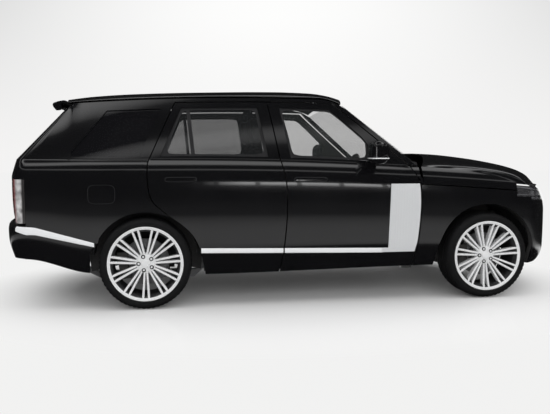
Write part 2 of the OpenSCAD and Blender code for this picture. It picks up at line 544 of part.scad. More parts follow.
module headlamp() {
    sts = concat([for (x = [lamp_x0 + 1, x_fa + 330, x_fa + 380, x_fa + 406, x_fa + 412,
        x_fa + 430]) at_x(x)],
        [for (a = [52, 44, 36, 28.9]) nose(a)]);
    p = [for (t = steps(0, 1, 4)) [for (s = sts) let (v0 = s[0] < x_fa + 408 && s[1] > 800 ?
        level(s[0], lamp_z0) : v_bumper + 0.0006) low(s, lerp(v0, v_lamp - 0.008, t))]];
    shell(p, set_in(p, sts, 60));
}

// Rear bumper from wheel arch to wheel arch, with the lugs of the lower tailgate
lid_hinge_ys = [-330, 330];
lid_z0 = 716;
lid_split = 1030;
lid_axis = [x_rear + 30, lid_z0 + 6];
module rear_bumper() {
    half = concat([for (a = [0, 5, 10, 15, 24, 40, 60, 78]) tail(a)],
        [for (x = [c_tail[0], x_ra - 780, x_ra - 640, x_ra - 520, x_ra - 446, x_ra - 432, x_ra - 410,
            x_ra - 385]) at_x(x)]);
    n = len(half);
    sts = concat([for (k = [1:n]) flip(half[n - k])], [for (k = [1:n - 1]) half[k]]);
    p = [for (t = [0, 0.15, 0.28, 0.52, 0.78, 0.92,
        1]) [for (s = sts) s[1] < 0 ? flip(tail_skirt(flip(s), t)) : tail_skirt(s, t)]];
    union() {
        shell(p, set_in(p, sts, panel));
        for (y = lid_hinge_ys) {
            box([lid_axis[0] - 8, y - 9, lid_axis[1] - 70], [lid_axis[0] + 8, y + 9, lid_axis[1]]);
            rod([lid_axis[0], y - 9, lid_axis[1]], 8, 18, "y");
            rod([lid_axis[0], y - 30, lid_axis[1]], 5, 60, "y");
        }
    }
}
function tail_skirt(s, t) = let (side = s[0] > c_tail[0] - 1,
    foot = s[0] > x_ra - 440 ? level(s[0], arch_z(s[0], x_ra, arch_rear_r + 18)) : 0,
    head = side ? level(s[0], bumper_top(s[0]) - 2 * e) : 0.335) low(s, lerp(foot, head, t));

module tail_lamp() {
    sts = concat([for (a = [a_gate + 0.08, 20, 26, 34, 46, 60, 75]) tail(a)], [at_x(c_tail[0] - 2 * e)]);
    p = [for (t = steps(0, 1, 6)) [for (s = sts) let (z = lerp(lid_z0 - 4, lamp_top - e, t), q = low(s,
        level(s[0], z))) [q[0], q[1], z]]];
    shell(p, set_in(p, sts, 60));
}

// Upper tailgate with its spoiler, hinged at the roof
gate_ls = [0.78, 0.82, 0.87, 0.93, 1, win_lo, 1.3, 1.6, win_hi, 1.98];
gate_as = [-a_gate + 0.08, -12.7, -8.5, -4.2, 0, 4.2, 8.5, 12.7, a_gate - 0.08];
function gate_pt(l, a) = let (s = tail(abs(a)), q = a / a_gate, t = max(0, l - 1),
    z = lerp(lid_split + g, belt_height, min(1, (l - gate_ls[0]) / (1 - gate_ls[0]))), b = low(s,
        level(s[0], z)),
    top = [x_roof_r - 12 - 40 * (1 - q ^ 2), q * (half_w - 354), rail_z(x_roof_r) - 24 + 34 * (1 - q ^ 2)])
    lerp([b[0], sign(a) * b[1], z], top, t);

module tailgate_upper() {
    p = [for (l = gate_ls) [for (a = gate_as) gate_pt(l, a)]];
    union() {
        shell(p, inner(p, 36), function(i, j) !(i >= 5 && i < 8 && j >= 1 && j < 7));
        spoiler();
        for (y = gate_hinge_ys) for (k = [-21, 12]) difference() {
            union() {
                rod([gate_axis[0], y + k - 1, gate_axis[1]], 8, 10, "y");
                box([gate_axis[0] - 40, y + k - 1, gate_axis[1] - 20], [gate_axis[0], y + k + 9,
                    gate_axis[1] - 2]);
            }
            rod([gate_axis[0], y + k - 4, gate_axis[1]], 4.1, 20, "y");
        }
    }
}

module spoiler() {
    sec = [for (q = [-1, -0.8, -0.5, -0.2, 0.2, 0.5, 0.8, 1]) let (y = q * (half_w - 356),
        x = gate_axis[0] - 9,
        z = min(roof_pt(0, q * 0.93)[2], gate_axis[1] + 5) - 2, b = 45 * (1 - q ^ 2))
        [[x, y, z - 72], [x, y, z], [x - 60 - b, y, z - 12], [x - 118 - b, y, z - 30],
        [x - 126 - b, y, z - 56], [x - 70, y, z - 78]]];
    loft(sec);
}

// Solid through a row of closed sections, each with as many points
module loft(s) {
    n = len(s);
    m = len(s[0]);
    polyhedron(flat(s), concat([[for (k = [0:m - 1]) m - 1 - k]], [[for (k = [0:m - 1]) (n - 1) * m + k]],
        [for (i = [0:n - 2]) for (k = [0:m - 1]) [i * m + k, i * m + (k + 1) % m, (i + 1) * m + (k + 1) % m,
            (i + 1) * m + k]]));
}

module tailgate_glass() {
    p = [for (l = [win_lo + 0.001, 1.3, 1.6, win_hi - 0.001]) [for (k = [1:7]) gate_pt(l, gate_as[k])
        - [0, sign(gate_as[k]) * (k == 1 || k == 7 ? e : 0), 0]]];
    q = inner(p, 8);
    shell(q, inner(p, 14));
}

module tailgate_lower() {
    vs = [0.358, 0.428, 0.5, 0.577, 0.68, 0.767];
    as = steps(-a_gate + 0.08, a_gate - 0.08, 10);
    p = [for (k = [0:5]) [for (a = as) let (b = low(tail(abs(a)), vs[k])) [b[0], sign(a) * b[1],
        lerp(lid_z0, lid_split - g, k / 5)]]];
    union() {
        shell(p, inner(p, 60));
        for (y = lid_hinge_ys) for (k = [-21, 12]) difference() {
            union() {
                rod([lid_axis[0], y + k - 1, lid_axis[1]], 10, 10, "y");
                box([lid_axis[0], y + k - 1, lid_axis[1] - 4], [lid_axis[0] + 60, y + k + 9,
                    lid_axis[1] + 10]);
            }
            rod([lid_axis[0], y + k - 4, lid_axis[1]], 5.1, 20, "y");
        }
    }
}

// Floor with tunnel, bulkhead, riser, load floor and the rails to both ends
floor_z = sill_height + 60;
load_z = floor_z + 300;
module floor_pan() {
    y = half_w - 210 - e;
    z = floor_z;
    union() {
        beam([[-y, z], [y, z], [y, z + 24], [105, z + 24], [90, z + 170], [-90, z + 170], [-105,
            z + 24], [-y, z + 24]],
            x_ra + 540, x_lead - 60);
        prism([[x_lead - 66, z], [x_lead - 40, z], [x_lead + 90, z + 330], [x_lead + 90, 1080],
            [x_lead + 66, 1080],
            [x_lead + 66, z + 336], [x_lead - 66, z + 24]], -y + 130, y - 130);
        prism([[x_ra + 536, z], [x_ra + 560, z], [x_ra + 560, load_z], [x_rear + 200, load_z],
            [x_rear + 200, load_z - 30], [x_ra + 536, load_z - 30]], -(wheel_y - 155 - e),
                wheel_y - 155 - e);
        both() box([x_lead + 60, 440, 640], [x_fa + 560, 500 - e, 720]);
        box([x_fa + 540, -490, 620], [x_fa + 600, 490, 740]);
        both() box([x_rear + 116.8, 480, 470], [x_ra + 400, 530, load_z - 28]);
    }
}

// Liners above the wheels
module liner(x, r, y0, y1) {
    difference() {
        rod([x, y0, tyre_r], r + 14, y1 - y0, "y");
        rod([x, y0 - 10, tyre_r], r + 2, y1 - y0 + 20, "y");
        box([x - 600, y0 - 10, -200], [x + 600, y1 + 10, tyre_r + 60]);
    }
}
module wheel_liners() {
    both() {
        liner(x_fa, arch_front_r, 500, 862);
        liner(x_ra, arch_rear_r, wheel_y - 155, 860);
    }
}

// Front subframe, arms and rack: holds the knuckles between upper and lower eyes
king_y = wheel_y - 85;
king_zs = [tyre_r - 150, tyre_r + 190];
module front_axle() {
    union() {
        for (x = [x_fa - 230, x_fa + 170]) box([x, -400, 226], [x + 60, 400, 310]);
        both() box([x_fa - 230, 340, 226], [x_fa + 230, 400, 310]);
        both() for (x = [x_fa - 230, x_fa + 180]) box([x, 370, 300], [x + 50, 480, 640 - e]);
        both() for (z = king_zs) difference() {
            union() {
                rod([x_fa, king_y, z - 14], 30, 28);
                linear_arm([x_fa - 180, 380], [x_fa, king_y], z);
                linear_arm([x_fa + 180, 380], [x_fa, king_y], z);
            }
            rod([x_fa, king_y, z - 20], 16.1, 40);
        }
        both() box([x_fa - 200, 340, 300], [x_fa - 150, 400, king_zs[1] + 14]);
        both() box([x_fa + 150, 340, 300], [x_fa + 200, 400, king_zs[1] + 14]);
    }
}
module linear_arm(a, b, z) {
    d = b - a;
    n = norm(d);
    translate([a[0], a[1], z - 12]) rotate([0, 0, atan2(d[1], d[0])]) translate([0, -16,
        0]) cube([n - 24, 32, 24]);
}

module knuckle() {
    union() {
        rod([x_fa, king_y, king_zs[0] - 14], 16, king_zs[1] - king_zs[0] + 28);
        rod([x_fa, king_y, king_zs[0] + 15], 34, king_zs[1] - king_zs[0] - 30);
        rod([x_fa, king_y, tyre_r], 30, 100, "y");
        rod([x_fa, king_y, tyre_r], 62, 34, "y");
        box([x_fa - 190, king_y - 12, tyre_r - 20], [x_fa, king_y + 12, tyre_r + 20]);
        caliper(x_fa, -1);
    }
}

// Caliper over the disc, behind or ahead of the axle
module caliper(x, s) {
    y0 = wheel_y - 45;
    difference() {
        rotate_about(x, s * 8) box([x - disc_r - 30, y0 - 40, tyre_r - 110], [x - disc_r + 60, y0 + 70,
            tyre_r + 110]);
        rod([x, y0 + 8, tyre_r], disc_r + 6, 38, "y");
        rod([x, y0 - 100, tyre_r], disc_r - 50, 300, "y");
    }
    rotate_about(x, s * 8) box([x - disc_r + 10, king_y - 14, tyre_r - 20], [x - disc_r + 60, y0 - 10,
        tyre_r + 20]);
}
module rotate_about(x, a) {
    translate([x, 0, tyre_r]) rotate([0, a, 0]) translate([-x, 0, -tyre_r]) children();
}

module rear_axle() {
    union() {
        for (x = [x_ra - 230, x_ra + 170]) box([x, -420, 250], [x + 60, 420, 320]);
        both() box([x_ra - 230, 360, 250], [x_ra + 230, 420, 320]);
        both() for (x = [x_ra - 230, x_ra + 170]) box([x, 380, 300], [x + 60, 520, 470 - e]);
        rod([x_ra, -140, tyre_r], 110, 280, "y");
        rod([x_ra, -king_y, tyre_r], 26, 2 * king_y, "y");
        box([x_ra - 200, -60, 300], [x_ra + 200, 60, 330]);
        both() {
            box([x_ra - 40, king_y - 30, tyre_r - 150], [x_ra + 40, king_y + 10, tyre_r + 120]);
            for (x = [x_ra - 190, x_ra + 150]) box([x, 400, 260], [x + 40, king_y, 300]);
            box([x_ra - 190, king_y - 30, 260], [x_ra + 190, king_y, 300]);
            rod([x_ra, king_y, tyre_r], 30, 100, "y");
            rod([x_ra, king_y, tyre_r], 62, 34, "y");
            box([x_ra - 190, king_y - 14, tyre_r - 20], [x_ra, king_y + 10, tyre_r + 20]);
            caliper(x_ra, -1);
        }
    }
}

module engine_block() {
    union() {
        box([x_fa - 330, -300, 310 + e], [x_fa + 340, 300, 980]);
        box([x_lead + 110, -150, 380], [x_fa - 300, 150, 620]);
    }
}

module exhaust() {
    z = sill_height + 10;
    union() {
        both() rod([x_ra + 700, 260, z], 34, 900, "x");
        box([x_ra + 480, -320, z - 50], [x_ra + 720, 320, z + 50 - e]);
        both() box([x_rear + 220, 470, 400], [x_rear + 380, 760, 470 - e]);
        both() box([x_rear + 196, 560, 420], [x_rear + 240, 700, 466]);
        both() prism([[x_ra + 490, z + 40], [x_ra + 490, z - 20], [x_ra + 400, 180], [x_ra - 380, 180],
            [x_rear + 380, 400], [x_rear + 340, 466], [x_ra - 420, 246], [x_ra + 420, 246]], 470, 530);
    }
}

// Dashboard with the console on the tunnel and the steering column
helm_c = [x_lead - 480, -380, 1080];
module dashboard() {
    union() {
        prism(rounded([[x_lead - 10, 760], [x_lead + 30, 1030], [x_lead - 60, 1066], [x_lead - 190, 1108],
            [x_lead - 330, 1060], [x_lead - 350, 900], [x_lead - 240, 760]], 40), -(half_w - 230),
                half_w - 230);
        box([x_lead - 900, -88, floor_z + 170 + e], [x_lead - 200, 88, 800]);
        translate(helm_c) rotate([0, -66, 0]) translate([0, 0, -235]) cylinder(h = 210 - e, r = 32);
    }
}

module steering_wheel() {
    translate(helm_c) rotate([0, -66, 0]) {
        rotate_extrude() translate([helm_d / 2 - 15, 0]) circle(r = 15, $fn = 16);
        translate([0, 0, -25]) cylinder(h = 50, r = 70);
        for (a = [0, 120, 240]) rotate([0, 0, a]) translate([50, -20, -8]) cube([helm_d / 2 - 65, 40, 16]);
    }
}

// Front seats: cushion, back and headrest by their side profile
front_profile = rounded([[-60, 0], [-40, 200], [60, 250], [80, 330], [-290, 300], [-420, 680], [-540, 700],
    [-440, 240], [-440, 0]], 40);
module front_seats() {
    x = x_fa - 1470;
    z = floor_z + 24 + e;
    both() union() {
        prism([for (p = front_profile) [x + p[0], z + p[1]]], 380 - seat_w / 2, 380 + seat_w / 2);
        prism(rounded([[x - 500, z + 640], [x - 430, z + 640], [x - 450, z + 850], [x - 540, z + 850]],
            40), 240, 520);
    }
}

// Rear bench on the load floor
bench_profile = rounded([[0, 0], [10, 150], [-400, 120], [-490, 620], [-600, 640], [-540, 0]], 40);
module rear_bench() {
    x = x_ra + 548;
    z = load_z + e;
    union() {
        prism([for (p = bench_profile) [x + p[0], z + p[1]]], -bench_w / 2, bench_w / 2);
        both() prism(rounded([[x - 580, z + 580], [x - 500, z + 580], [x - 510, z + 770], [x - 590,
            z + 770]], 40), 220, 470);
    }
}

module door_mirror() {
    x = x_fa - 1010;
    y = half_w - 60;
    z = 1262;
    loft([for (t = [[0, 0.6], [0.1, 0.84], [0.5, 1], [0.85, 0.94], [1, 0.66]]) [for (a = steps(0, 345, 23))
        let (c = cos(a), d = sin(a)) [x - 40 + 100 * t[1] * (c > 0 ? c : 0.6 * c), y + 55 + 205 * t[0],
            z + 100 * t[1] * sign(d) * abs(d) ^ 0.7]]]);
    box([x - 60, wall_pt(x - 60, level(x - 60, 1190))[1] + e, 1190], [x + 30, y + 90, 1212]);
}

// Road wheel: barrel, flanges, hub and pairs of slim spokes, with the brake disc behind
module wheel() {
    union() {
        rotate_extrude($fn = 72) polygon([[rim_r - 26, -126], [rim_r + 2, -126], [rim_r + 2, -138],
            [rim_r - 34, -138],
            [rim_r - 44, 40], [rim_r - 40, 112], [rim_r - 10, 138], [rim_r + 2, 138], [rim_r + 2, 126],
            [rim_r - 14, 122], [rim_r - 24, 104], [rim_r - 30, 40]]);
        rotate_extrude($fn = 48) polygon([[30.2, 15], [86, 15], [86, 70], [72, 96], [40, 100], [30.2,
            100]]);
        rod([0, 0, 96], 38, 12);
        for (k = [0:spoke_pairs - 1]) for (s = [-1, 1]) rotate([0, 0,
            360 * (k + 0.5) / spoke_pairs + 90]) spoke(s);
        rotate_extrude($fn = 72) polygon([[30.2, -32], [disc_r, -32], [disc_r, -4], [110, -4], [110,
            16], [30.2, 16]]);
    }
}

module spoke(s) {
    a = [62, s * 9];
    b = [rim_r - 24, s * 24];
    d = b - a;
    translate([a[0], a[1], 0]) rotate([0, 0, atan2(d[1], d[0])]) rotate([90, 0, 0])
        translate([0, 0, -spoke_w / 2]) linear_extrude(spoke_w) polygon([[0, 40], [norm(d), 76],
            [norm(d), 122], [0, 92]]);
}

module tyre() {
    b = tyre_w / 2;
    rotate_extrude($fn = 96) polygon([[rim_r - 12, -b + 16], [rim_r + 2.6, -b + 14.4], [rim_r + 8,
        -b + 4], [rim_r + 26, -b],
        [tyre_r - 28, -b + 6], [tyre_r - 8, -b + 22], [tyre_r, -b + 50], [tyre_r, b - 50], [tyre_r - 8,
            b - 22],
        [tyre_r - 28, b - 6], [rim_r + 26, b], [rim_r + 8, b - 4], [rim_r + 2.6, b - 14.6],
            [rim_r - 12, b - 17.9]]);
}

module placed(x) {
    translate([x, wheel_y, tyre_r]) rotate([-90, 0, 0]) children();
}

module right() {
    mirror([0, 1, 0]) children();
}

paint = [0.05, 0.05, 0.06];
bright = [0.75, 0.76, 0.78];
dark = [0.12, 0.12, 0.13];
clear = [0.3, 0.35, 0.38, 0.6];

color(dark) floor_pan();
color(paint) right() side_frame();  // side_frame_right
color(paint) side_frame();  // side_frame_left
color(paint) right() rear_quarter();  // rear_quarter_right
color(paint) rear_quarter();  // rear_quarter_left
color(paint) roof_panel();
color(paint) both() front_wing();  // front_wings
color(paint) front_bumper();
color(bright) grille();
color(clear) both() headlamp();  // headlamps
color(paint) rear_bumper();
color([0.5, 0.05, 0.05]) both() tail_lamp();  // tail_lamps
color(clear) windscreen();
color(clear) both() quarter_glass();  // quarter_glasses
color(dark) wheel_liners();
color(dark) scuttle();
color(dark) front_axle();
color(dark) rear_axle();
color(dark) engine_block();
color(bright) exhaust();
color(dark) dashboard();
color(dark) steering_wheel();
color(dark) front_seats();
color(dark) rear_bench();
color(paint) bonnet();
color(paint) tailgate_upper();
color(clear) tailgate_glass();
color(paint) tailgate_lower();
color(paint) right() front_door();  // door_front_right
color(paint) front_door();  // door_front_left
color(paint) right() rear_door();  // door_rear_right
color(paint) rear_door();  // door_rear_left
color(clear) right() door_glass(front_f);  // glass_front_right
color(clear) door_glass(front_f);  // glass_front_left
color(clear) right() door_glass(rear_x_f);  // glass_rear_right
color(clear) door_glass(rear_x_f);  // glass_rear_left
color(bright) right() blade();  // blade_right
color(bright) blade();  // blade_left
color(paint) right() door_mirror();  // mirror_right
color(paint) door_mirror();  // mirror_left
color(dark) right() knuckle();  // knuckle_right
color(dark) knuckle();  // knuckle_left
color(bright) right() placed(x_fa) wheel();  // wheel_front_right
color(bright) placed(x_fa) wheel();  // wheel_front_left
color(bright) right() placed(x_ra) wheel();  // wheel_rear_right
color(bright) placed(x_ra) wheel();  // wheel_rear_left
color(dark) right() placed(x_fa) tyre();  // tyre_front_right
color(dark) placed(x_fa) tyre();  // tyre_front_left
color(dark) right() placed(x_ra) tyre();  // tyre_rear_right
color(dark) placed(x_ra) tyre();  // tyre_rear_left
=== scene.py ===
"""Looks of a full-size five-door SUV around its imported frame: panels, glass, wheels, cabin and studio."""

import math

import bpy
import numpy as np
from mathutils import Matrix, Vector


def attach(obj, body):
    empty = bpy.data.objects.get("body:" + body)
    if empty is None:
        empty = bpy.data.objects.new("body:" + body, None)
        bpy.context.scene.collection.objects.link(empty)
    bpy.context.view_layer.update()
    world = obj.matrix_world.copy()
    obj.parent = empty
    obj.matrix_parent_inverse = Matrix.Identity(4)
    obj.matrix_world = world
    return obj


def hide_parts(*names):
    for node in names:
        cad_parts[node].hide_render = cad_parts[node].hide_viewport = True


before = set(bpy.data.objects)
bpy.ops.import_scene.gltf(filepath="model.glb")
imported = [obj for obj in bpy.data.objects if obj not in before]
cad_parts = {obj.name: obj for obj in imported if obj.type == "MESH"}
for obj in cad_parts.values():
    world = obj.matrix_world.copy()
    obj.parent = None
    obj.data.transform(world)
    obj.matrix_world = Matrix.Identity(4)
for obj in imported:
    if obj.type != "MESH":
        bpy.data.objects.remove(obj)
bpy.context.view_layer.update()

bl_info = {
    "name": "Five-door SUV",
    "version": (1, 0, 0),
    "blender": (4, 5, 0),
    "location": "3D View > Sidebar > SUV",
    "description": "Builds the finished pieces of a full-size SUV on its packed frame",
    "category": "Add Mesh",
}

MM = 0.001
SIDES = (("right", -1), ("left", 1))
# Millimetres: bevel of painted edges, outer sheet of a double panel, step from a pane's face to its back
EDGE, SHEET, PANE = 2.0, 4, np.array((0, 5, 0))
# Camera solved on the photo's wheels: metres, then degrees of yaw and pitch
CAMERA_PLACE, CAMERA_TURN = (-1.0836, -6.2894, 1.2535), (8.80, -4.62)
SENSOR_MM, LENS_MM = 36.0, 42.99


def length(name, words, value):
    """A size in metres for the sidebar."""
    return bpy.props.FloatProperty(name=name, description=words, default=value, unit="LENGTH")


def tint(name, words, value):
    """A colour for the sidebar."""
    return bpy.props.FloatVectorProperty(name=name, description=words, default=value, subtype="COLOR", size=3)


class SuvSizes(bpy.types.PropertyGroup):
    """Driving sizes, the same as those of the solids."""

    overall_length: length("Overall length", "Length over the bumpers", 5.0)
    wheelbase: length("Wheelbase", "Distance between the axles", 2.922)
    front_overhang: length("Front overhang", "Nose to front axle", 0.89)
    body_width: length("Body width", "Width over the doors", 1.98)
    roof_height: length("Roof height", "Ground to roof", 1.815)
    belt_height: length("Waist height", "Height of the waistline at the rear doors", 1.209)
    sill_height: length("Sill height", "Ground to the lower edge of the rear doors", 0.268)
    shut_gap: length("Shut gap", "Gap round a moving panel", 0.008)
    door_depth: length("Door depth", "Depth of the doors behind the widest line", 0.085)
    door_lead: length("Door lead", "Front doors' leading edge behind the front axle", 0.609)
    door_split: length("Door split", "Line between the doors behind the front axle", 1.768)
    tyre_radius: length("Tyre radius", "Radius of the tyres", 0.372)
    tyre_width: length("Tyre width", "Width of the tyres", 0.28)
    rim_radius: length("Rim radius", "Radius of the rim flanges", 0.3)
    track: length("Track", "Distance between the wheels' middles", 1.69)
    arch_front: length("Front arch", "Radius of the front wheel arches", 0.452)
    arch_rear: length("Rear arch", "Radius of the rear wheel arches", 0.418)
    spoke_pairs: bpy.props.IntProperty(name="Spoke pairs", description="Pairs of spokes in a wheel", default=11)


class SuvColours(bpy.types.PropertyGroup):
    """Colours of the finishes."""

    paint: tint("Paint", "Gloss body paint", (0.0035, 0.0035, 0.004))
    trim: tint("Trim", "Satin dark plastic", (0.012, 0.012, 0.013))
    silver: tint("Silver", "Satin silver blade", (0.62, 0.63, 0.64))
    bright: tint("Bright strip", "Bright strips", (0.82, 0.83, 0.84))
    alloy: tint("Alloy", "Road wheels", (0.88, 0.885, 0.89))
    rubber: tint("Rubber", "Tyres and seals", (0.005, 0.005, 0.0055))
    leather: tint("Leather", "Seats", (0.03, 0.028, 0.027))
    floor: tint("Floor", "Studio floor", (0.9, 0.9, 0.9))


def lerp(a, b, t):
    """Straight blend of two values."""
    return a + (b - a) * t


def curve(points, x):
    """Smooth curve through points that never overshoots, flat beyond its ends."""
    k = min(max(sum(1 for p in points[1:-1] if p[0] <= x), 0), len(points) - 2)
    def secant(n):
        return (points[n + 1][1] - points[n][1]) / (points[n + 1][0] - points[n][0])
    def slope(n):
        if n == 0:
            return secant(0)
        if n == len(points) - 1:
            return secant(n - 1)
        a, b = secant(n - 1), secant(n)
        return 0 if a * b <= 0 else 2 * a * b / (a + b)
    h = points[k + 1][0] - points[k][0]
    t = min(1, max(0, (x - points[k][0]) / h))
    return (points[k][1] * (2 * t ** 3 - 3 * t ** 2 + 1) + h * slope(k) * (t ** 3 - 2 * t ** 2 + t)
            + points[k + 1][1] * (3 * t ** 2 - 2 * t ** 3) + h * slope(k + 1) * (t ** 3 - t ** 2))


def along(values, u):
    """Value at a place in a list, blended between neighbours."""
    i = min(int(u), len(values) - 2)
    return lerp(values[i], values[i + 1], u - i)


def cos(a):
    """Cosine of degrees."""
    return math.cos(math.radians(a))


def sin(a):
    """Sine of degrees."""
    return math.sin(math.radians(a))


class Form:
    """The body's surface in millimetres: plan, upright sections, shut lines and greenhouse."""

    side_sec = [(0, 60), (0.05, 40), (0.12, 22), (0.2, 12), (0.35, 8), (0.55, 3), (0.72, 0), (0.82, 3),
                (0.9, 18), (0.96, 42), (1, 66)]
    nose_sec = [(0, 62), (0.03, 40), (0.095, 15), (0.185, 2), (0.387, 0), (0.61, 2), (0.722, 14), (0.78, 34),
                (0.854, 62), (0.947, 104), (1, 126)]
    tail_sec = [(0, 34), (0.094, 13), (0.173, 2), (0.26, 0), (0.31, 6), (0.345, 56), (0.428, 46),
                (0.577, 39), (0.814, 38), (0.892, 53), (1, 78)]
    win_lo, win_hi = 1.05, 1.84
    v_crease, v_lamp, v_bumper, v_step = 0.83, 0.893, 0.735, 0.335
    a_gate = 16
    lamp_top, lamp_z0, lid_z0, lid_split = 1056, 884, 716, 1030

    def __init__(self, p):
        self.half_w = p.body_width * 500
        self.x_front = p.overall_length * 500
        self.x_rear = -self.x_front
        self.x_fa = self.x_front - p.front_overhang * 1000
        self.x_ra = self.x_fa - p.wheelbase * 1000
        self.roof, self.belt_z, self.sill_z = p.roof_height * 1000, p.belt_height * 1000, p.sill_height * 1000
        self.g, self.depth = p.shut_gap * 500, p.door_depth * 1000
        self.x_lead, self.x_split = self.x_fa - p.door_lead * 1000, self.x_fa - p.door_split * 1000
        self.tyre_r, self.tyre_w, self.rim_r = p.tyre_radius * 1000, p.tyre_width * 1000, p.rim_radius * 1000
        self.wheel_y, self.pairs = p.track * 500, p.spoke_pairs
        self.arch_f, self.arch_r = p.arch_front * 1000, p.arch_rear * 1000
        self.x_wide, self.belt_x, self.rail_x = self.x_fa - 1710, self.x_ra + 312, self.x_fa - 1910
        w_front, w_rear = self.half_w - 20, self.half_w - 22
        self.a_nose = math.degrees(math.asin((w_front - 220) / 1030))
        self.a_tail = math.degrees(math.asin((w_rear - 150) / 2750))
        self.c_nose = (self.x_front - 1250 + 1030 * cos(self.a_nose), w_front - 220)
        self.c_tail = (self.x_rear + 2900 - 2750 * cos(self.a_tail), w_rear - 150)
        self.x_fan, self.x_roof_r, self.x_roof_f = self.x_rear + 620, self.x_rear + 575, self.x_fa - 1262
        self.lamp_x0, self.x_hood_r = self.x_fa + 268, self.x_lead + 14
        self.x_hood_f = self.lamp_x0 - self.g
        self.gate_axis = (self.x_roof_r - 52, self.roof_z(self.x_roof_r - 40) - 7)

    def nose(self, a):
        """Station of the nose, a degrees round from straight ahead."""
        if a < self.a_nose:
            return (self.x_front - 1250 + 1250 * cos(a), 1250 * sin(a), a)
        return (self.c_nose[0] + 220 * cos(a), self.c_nose[1] + 220 * sin(a), a)

    def tail(self, a):
        """Station of the tail, a degrees round from straight back."""
        if a < self.a_tail:
            return (self.x_rear + 2900 - 2900 * cos(a), 2900 * sin(a), 180 - a)
        return (self.c_tail[0] - 150 * cos(a), self.c_tail[1] + 150 * sin(a), 180 - a)

    def bow(self, x):
        """How far the side lies inside the widest line."""
        if x > self.x_wide:
            return 20 * ((x - self.x_wide) / (self.c_nose[0] - self.x_wide)) ** 2
        return 22 * ((x - self.x_wide) / (self.x_wide - self.c_tail[0])) ** 2

    def at_x(self, x):
        """Station of the side at a length."""
        if x > self.c_nose[0]:
            a = math.degrees(math.acos(min(1, (x - self.c_nose[0]) / 220)))
            return self.nose(max(a, self.a_nose))
        if x < self.c_tail[0]:
            return self.tail(math.degrees(math.acos(min(1, (self.c_tail[0] - x) / 150))))
        return (x, self.half_w - self.bow(x), 90)

    def sill(self, x):
        """Lower edge of the body."""
        s = self.sill_z
        return curve([(self.x_rear, s + 172), (self.x_ra - 890, s + 152), (self.x_ra - 430, s + 32),
                      (self.x_ra + 460, s), (self.x_fa - 460, s + 28), (self.x_fa + 440, s + 17),
                      (self.x_front, s - 18)], x)

    def belt(self, x):
        """Waistline."""
        return self.belt_z - 62 * max(0, (x - self.belt_x) / 1932) ** 2

    def low(self, s, v):
        """Point of the body below the waist: station s, v from 0 at the sill to 1 at the waist."""
        end = self.nose_sec if s[2] < 90 else self.tail_sec
        i = lerp(curve(self.side_sec, v), curve(end, v), cos(s[2]) ** 2)
        return np.array((s[0] - i * cos(s[2]), s[1] - i * sin(s[2]), lerp(self.sill(s[0]), self.belt(s[0]), v)))

    def side_z(self, x):
        """Line along the top of the side windows."""
        return self.roof - 93 - 34 * ((x - self.rail_x) / 1207) ** 2

    def rail_z(self, x):
        """Edge of the roof, falling to the windscreen pillar."""
        return self.side_z(x) - 45 * max(0, (x - self.rail_x - 450) / 200) ** 2

    def rail_y(self, x):
        """Edge of the roof across."""
        return self.half_w - 250 - 12 * ((x - self.rail_x) / 800) ** 2

    def up(self, x, k):
        """Point of the side above the waist, k from 0 at the waist to 1 at the roof's edge."""
        b = self.low(self.at_x(x), 1)
        return np.array((x, lerp(b[1], self.rail_y(x), k) + 40 * k * (1 - k), lerp(b[2], self.side_z(x), k)))

    def wall(self, x, l):
        """Point of the side: level 0 sill, 1 waist, 2 roof's edge."""
        return self.low(self.at_x(x), l) if l <= 1 else self.up(x, l - 1)

    def height(self, x, l):
        """Height of a level."""
        if l <= 1:
            return lerp(self.sill(x), self.belt(x), l)
        return lerp(self.belt(x), self.side_z(x), l - 1)

    def level(self, x, z):
        """Level of a height."""
        if z <= self.belt(x):
            return (z - self.sill(x)) / (self.belt(x) - self.sill(x))
        return 1 + (z - self.belt(x)) / (self.side_z(x) - self.belt(x))

    def skin(self, x, z, out=0):
        """Point of the side at a length and height, moved outwards."""
        return self.wall(x, self.level(x, z)) + np.array((0, out, 0))

    def a_line(self, z):
        """Front edge of the windscreen pillar."""
        return self.x_fa - 629 - (z - 1144) * 1.205

    def lead_line(self, z):
        """Leading edge of the front door."""
        if z > 1146:
            return self.a_line(z) - 62
        return self.x_lead + curve([(200, -60), (350, -52), (422, -45), (525, -21), (700, -5), (824, 0),
                                    (930, -4), (1011, -13), (1070, -41), (1146, -87)], z)

    def split_line(self, z):
        """Line between the doors."""
        if z > 1199:
            return self.x_split - 49 - (z - 1199) * 0.185
        if z > 880:
            return self.x_split - 48 * ((z - 880) / 319) ** 2
        return self.x_split - 45 * ((880 - z) / 525) ** 2

    def rear_line(self, z):
        """Rear edge of the rear door, along the wheel arch below."""
        if z > 1208:
            return self.x_ra + 36 + (z - 1208) * 0.448
        if z > 748:
            return self.x_ra + curve([(700, 290), (748, 200), (780, 160), (885, 54), (980, 28), (1060, 22),
                                      (1163, 23), (1208, 36)], z)
        return self.x_ra + curve([(150, 490), (268, 476), (372, 456), (484, 432), (600, 374), (690, 282),
                                  (748, 200)], z)

    def on_line(self, f, x, l):
        """Length of a shut line at a level."""
        for _ in range(3):
            x = f(self.height(x, l))
        return x

    def top_level(self, x, d):
        """Level of the top of a door, d inside its edge."""
        return 2 - (32 + self.g + d) / (self.side_z(x) - self.belt(x))

